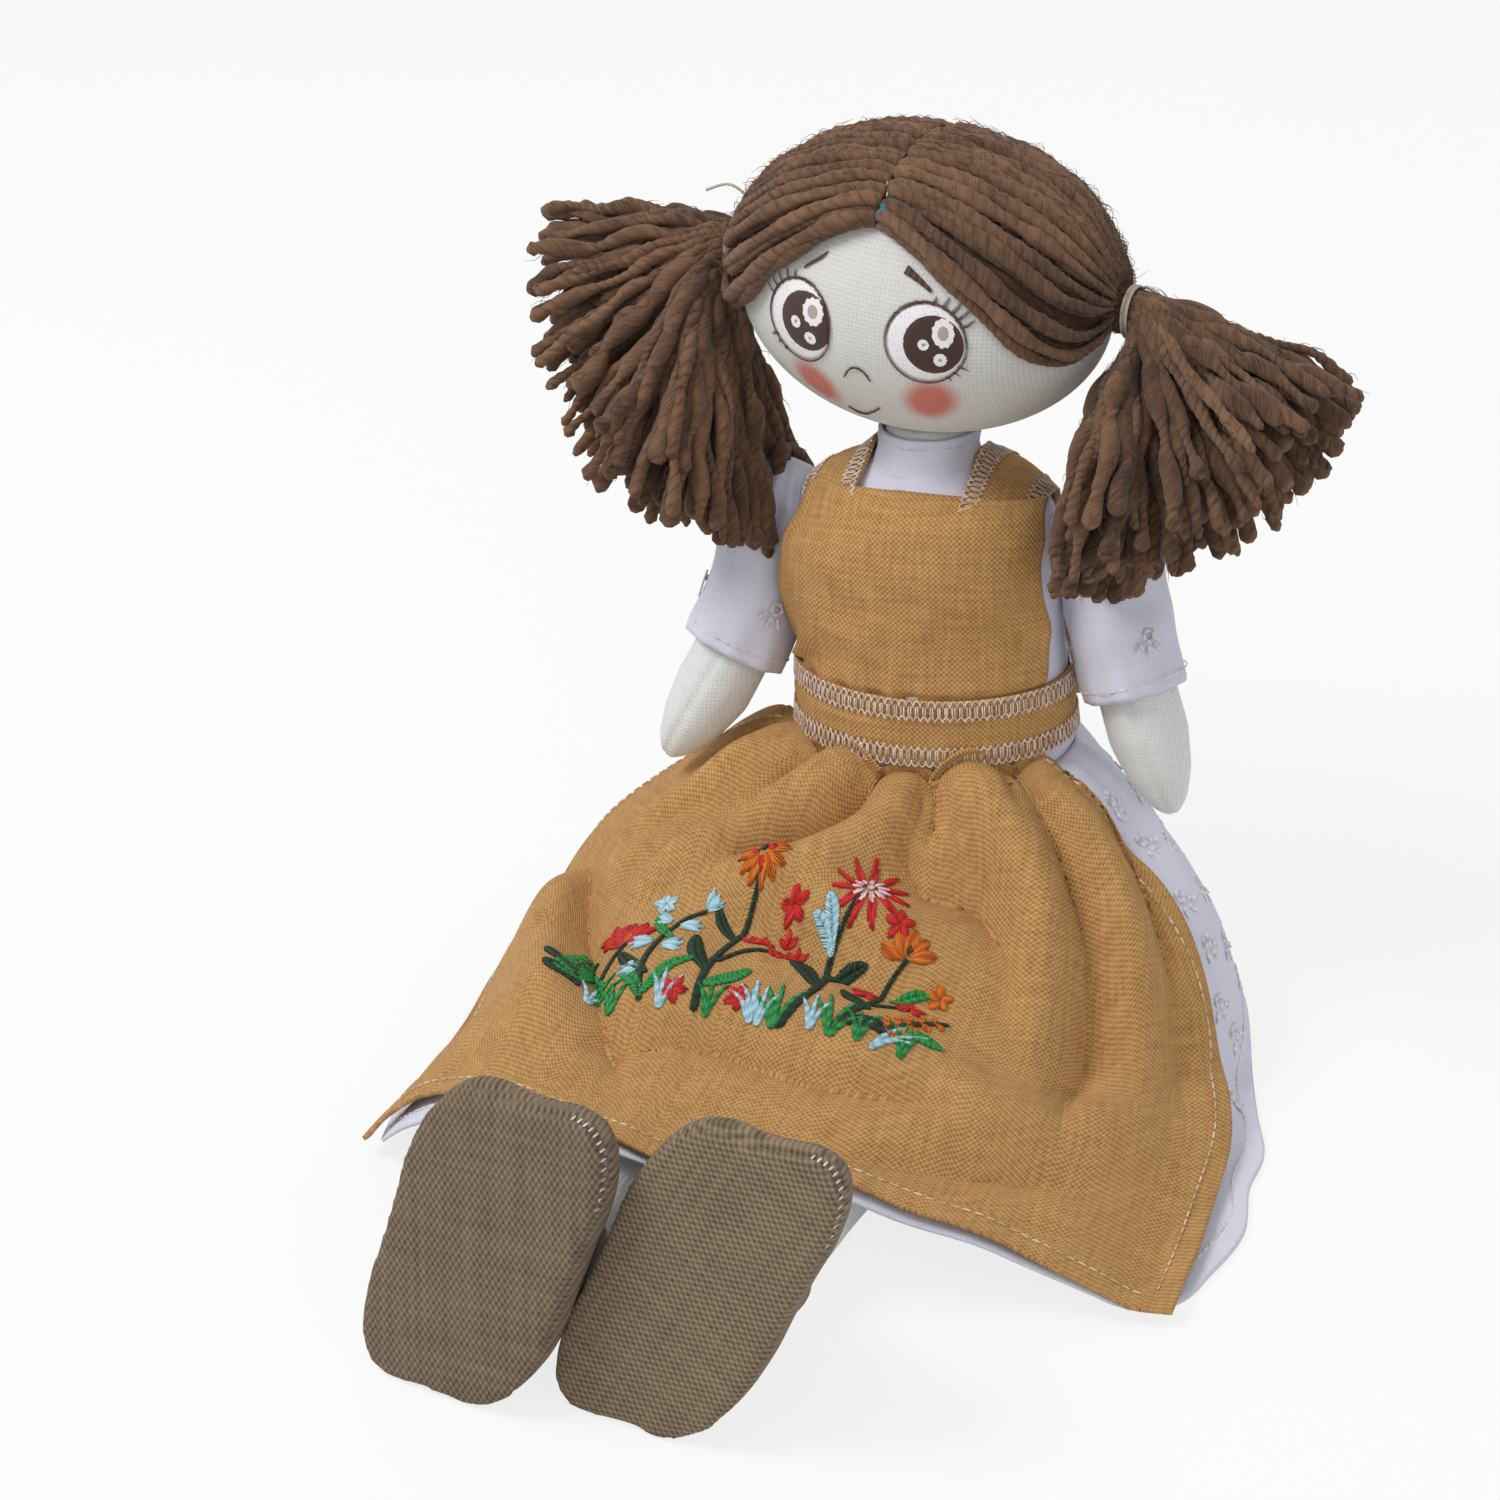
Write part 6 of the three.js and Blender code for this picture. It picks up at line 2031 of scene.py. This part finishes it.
# Beside it: pale blue bells on a bowed stem
stemOn(((-25, -1), (-28, 11), (-24, 24), (-19, 29)), (1.2, 1.1, 0.9, 0.7))
for x, y, angle in (
    (-27, 9, 200), (-26, 15, 15), (-27.5, 17, 190), (-24, 23, 10), (-25, 25, 170), (-19, 29, 55)
):
    petalsOn("pale_blue", (x, y), 3, 22, angle - 22, 5.6, 1.9, 0.15)
leafOn("leaf_green", (-25, 1), (-17, 12), 3.2, 1.2)
leafOn("leaf_green", (-25, 0), (-31, 6), 2.6, -0.8)
# A tall orange marigold with a branch of red buds
stemOn(((-12, -2), (-13, 12), (-8, 27), (-7, 37)), (1.7, 1.5, 1.2, 1.0))
for k in range(12):
    petalOn("orange", (-7, 39), k * 30 + 8, 5.8, 2.1, 0.2, "red" if k % 3 == 0 else None)
petalOn("dark_green", (-7, 39), 90, 1.8, 1.8, 0.0)
stemOn(((-12, 13), (-4, 20), (4, 22)), (1.1, 0.9, 0.6))
for at in ((-3, 23), (0, 19.5), (3, 24.5), (6, 22), (3.5, 20), (-6, 22)):
    petalsOn("red", at, 3, 50, 40, 3.2, 1.3, 0.1)
leafOn("dark_green", (-13, 8), (-19, 20), 3.4, 1.0)
leafOn("dark_green", (-10, 22), (-16, 31), 3.0, 0.8)
leafOn("leaf_green", (-12, 4), (-3, 12), 3.4, -1.0)
# A wide red daisy with a pale heart
stemOn(((9, -3), (13, 10), (14, 24), (17, 34)), (2.0, 1.8, 1.4, 1.0))
petalsOn("red", (18, 37), 11, 32.7, 0, 9.4, 2.0, 0.2, "pink_white")
petalOn("pink_white", (18, 37), 90, 2.0, 2.0, 0.0)
leafOn("dark_green", (13, 12), (4, 20), 3.6, -1.0)
leafOn("dark_green", (14, 16), (23, 23), 3.6, 1.0)
leafOn("pale_blue", (14, 24), (10, 33), 3.0, -0.6)
leafOn("pale_blue", (14, 24), (8, 30), 2.4, -0.6)
grassOn("leaf_green", (8, -3), ((3, 7), (6, 9), (12, 8), (1, 4)))
grassOn("pale_blue", (2, -2), ((-3, 6), (-5, 4), (0, 8)), 1.2)
# Right: an orange poppy, red stars and berries
stemOn(((20, -2), (26, 7), (28, 17), (31, 25)), (1.3, 1.2, 1.0, 0.8))
petalsOn("orange", (31, 25), 5, 35, 25, 6.6, 3.4, 0.15)
petalOn("dark_green", (31, 26), 95, 2.0, 1.8, 0.0)
for centre in ((24, 14), (35, 13)):
    petalsOn("red", centre, 5, 72, 20, 3.6, 2.4, 0.1)
stemOn(((27, 8), (33, 11)), (0.9, 0.7))
sprigOn("orange", ((30, 1), (36, 6), (44, 13)), 5, 3.6, 1.5)
leafOn("dark_green", (22, 1), (34, 2), 2.8, 1.0)
grassOn("leaf_green", (21, -3), ((15, 6), (18, 8), (24, 6), (27, 3)))
grassOn("pale_blue", (30, -3), ((38, 2), (41, 5), (36, 5)), 1.0)
for centre in ((-3, 3), (-18, 2)):
    petalsOn("red", centre, 5, 72, 0, 3.2, 2.2, 0.1)

# Fillers between them: bladed tufts, side leaves and small stars
for foot in (-40, -31, -20, -9, 4, 16, 27, 37):
    tips = ((foot - 4, 4 + abs(foot) % 3), (foot - 1, 7 - abs(foot) % 4), (foot + 3, 5))
    grassOn("leaf_green" if foot % 2 else "pale_blue", (foot, -2.5), tips, 1.0)
sideLeaves = {
    "dark_green": (
        2.4, (-46, 6, -54, 12), (-45, 3, -52, 6), (-46, 10, -40, 17), (-26, 6, -34, 14), (27, 6, 19, 12)
    ),
    "leaf_green": (2.6, (-35, 6, -40, 13), (-24, 18, -30, 26), (30, 14, 38, 20), (34, 4, 45, 4)),
}
for colourName, (width, *spots) in sideLeaves.items():
    for spot in spots:
        leafOn(colourName, spot[:2], spot[2:], width, 0.6)
for x, y, colourName in (
    (-38, 22, "red"), (-29, 31, "pale_blue"), (3, 31, "red"), (27, 31, "red"), (40, 20, "orange")
):
    petalsOn(colourName, (x, y), 5, 72, 30, 3.4, 2.4, 0.1)

for key, shades in flowerThreads.items():
    finish = threadFinish("thread embroidery " + key.replace("_", " "), *shades, sheen=0.04, roughness=0.5)
    drawn = np.concatenate(flowerPaths[key])
    ends = np.cumsum([len(path) for path in flowerPaths[key]])[:-1]
    paths = np.split(onApron(drawn[:, :2], drawn[:, 2]), ends)
    piece = dressed(strands("flowers_" + key, paths, flowerRadii[key], 5), finish, None, None)
    bent(piece)
print("flowers embroidered")


# What is seen of the CAD solids themselves: the neck's wooden dowel and the arms' joining thread
wood, woodTree, woodShader = newFinish("wood beech turned", 0.6)
woodSpace = patternPlace(woodTree, False)
stretch = addNode(woodTree, "ShaderNodeMapping", {"Scale": (900, 900, 40)}, {"Vector": woodSpace})
noise = {"Scale": 1.0, "Detail": 5.0}
grain = addNode(woodTree, "ShaderNodeTexNoise", noise, {"Vector": stretch.outputs[0]}).outputs["Fac"]
woodColour = mixColours(woodTree, grain, linear("#b98d5c"), linear("#e0bd8e"))
woodTree.links.new(woodColour, woodShader.inputs["Base Color"])
addBump(woodTree, woodShader, grain, 0.3, 0.1)
for node, finish in (("neck_dowel", wood), ("arm_thread", stringFinish)):
    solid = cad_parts[node]
    solid.data.materials.clear()
    solid.data.materials.append(finish)


# Camera, light and floor

def turnedTo(place, target):
    return (Vector(target) - Vector(place)).to_track_quat("-Z", "Y").to_euler()


# The distances and places of the camera and the lights are in metres
camera = {
    "target": (-0.0828, 0.064, 0.0), "distance": 1.1, "towards": (0.3006, -0.7830, 0.5446), "lens": 96.0,
    "sensorWidth": 36.0, "clipStart": 0.01,
}
eyePoint = Vector(camera["target"]) + Vector(camera["towards"]) * camera["distance"]
bpy.ops.object.camera_add(location=eyePoint)
view = bpy.context.object
view.rotation_euler = turnedTo(eyePoint, camera["target"])
view.data.lens = camera["lens"]
view.data.sensor_width = camera["sensorWidth"]
view.data.clip_start = camera["clipStart"]
bpy.context.scene.camera = view

lights = {
    "key": {"place": (-0.55, -0.35, 0.95), "aim": (0.0, -0.05, 0.08), "size": 0.45, "power": 6.4},
    "fill": {"place": (0.75, -0.75, 0.6), "aim": (0.0, -0.05, 0.08), "size": 0.8, "power": 2.1},
    "back": {"place": (0.2, 0.8, 0.8), "aim": (0.0, 0.0, 0.1), "size": 0.8, "power": 1.6},
    "worldStrength": 0.45,
    "floorGlow": 0.8,
}
for name in ("key", "fill", "back"):
    given = lights[name]
    bpy.ops.object.light_add(type="AREA", location=given["place"])
    lamp = bpy.context.object
    lamp.name = "light_" + name
    lamp.data.energy = given["power"]
    lamp.data.size = given["size"]
    lamp.rotation_euler = turnedTo(given["place"], given["aim"])


def seenDirectly(tree):
    # 1 for what the camera, a mirror or glass sees, and 0 for the light on the doll
    path = addNode(tree, "ShaderNodeLightPath")
    either = calc(tree, "MAXIMUM", path.outputs["Is Camera Ray"], path.outputs["Is Glossy Ray"])
    return calc(tree, "MAXIMUM", either, path.outputs["Is Transmission Ray"])


world = bpy.data.worlds.new("studio")
bpy.context.scene.world = world
world.use_nodes = True
backdrop = world.node_tree.nodes["Background"]
backdrop.inputs["Color"].default_value = linear("#ffffff")
dim = lights["worldStrength"]
strength = calc(world.node_tree, "MULTIPLY_ADD", seenDirectly(world.node_tree), 1 - dim, dim)
world.node_tree.links.new(strength, backdrop.inputs["Strength"])

# The floor shows nearly white and keeps the doll's shadow
floorSize = 6
bpy.ops.mesh.primitive_plane_add(size=floorSize)
floor = bpy.context.object
floor.name = "floor"
floorFinish = bpy.data.materials.new("paper white floor")
floorFinish.use_nodes = True
floorTree = floorFinish.node_tree
floorShader = floorTree.nodes["Principled BSDF"]
floorShader.inputs["Base Color"].default_value = linear("#f4f4f4")
floorShader.inputs["Roughness"].default_value = 0.9
glow = addNode(floorTree, "ShaderNodeEmission", {"Color": linear("#ffffff"), "Strength": 1.0})
share = calc(floorTree, "MULTIPLY", seenDirectly(floorTree), lights["floorGlow"])
inputs = {0: share, 1: floorShader.outputs[0], 2: glow.outputs[0]}
mixed = addNode(floorTree, "ShaderNodeMixShader", links=inputs)
floorTree.links.new(mixed.outputs[0], floorTree.nodes["Material Output"].inputs["Surface"])
floor.data.materials.append(floorFinish)
bpy.context.scene.view_settings.view_transform = "Standard"
print("camera, lights and floor set")
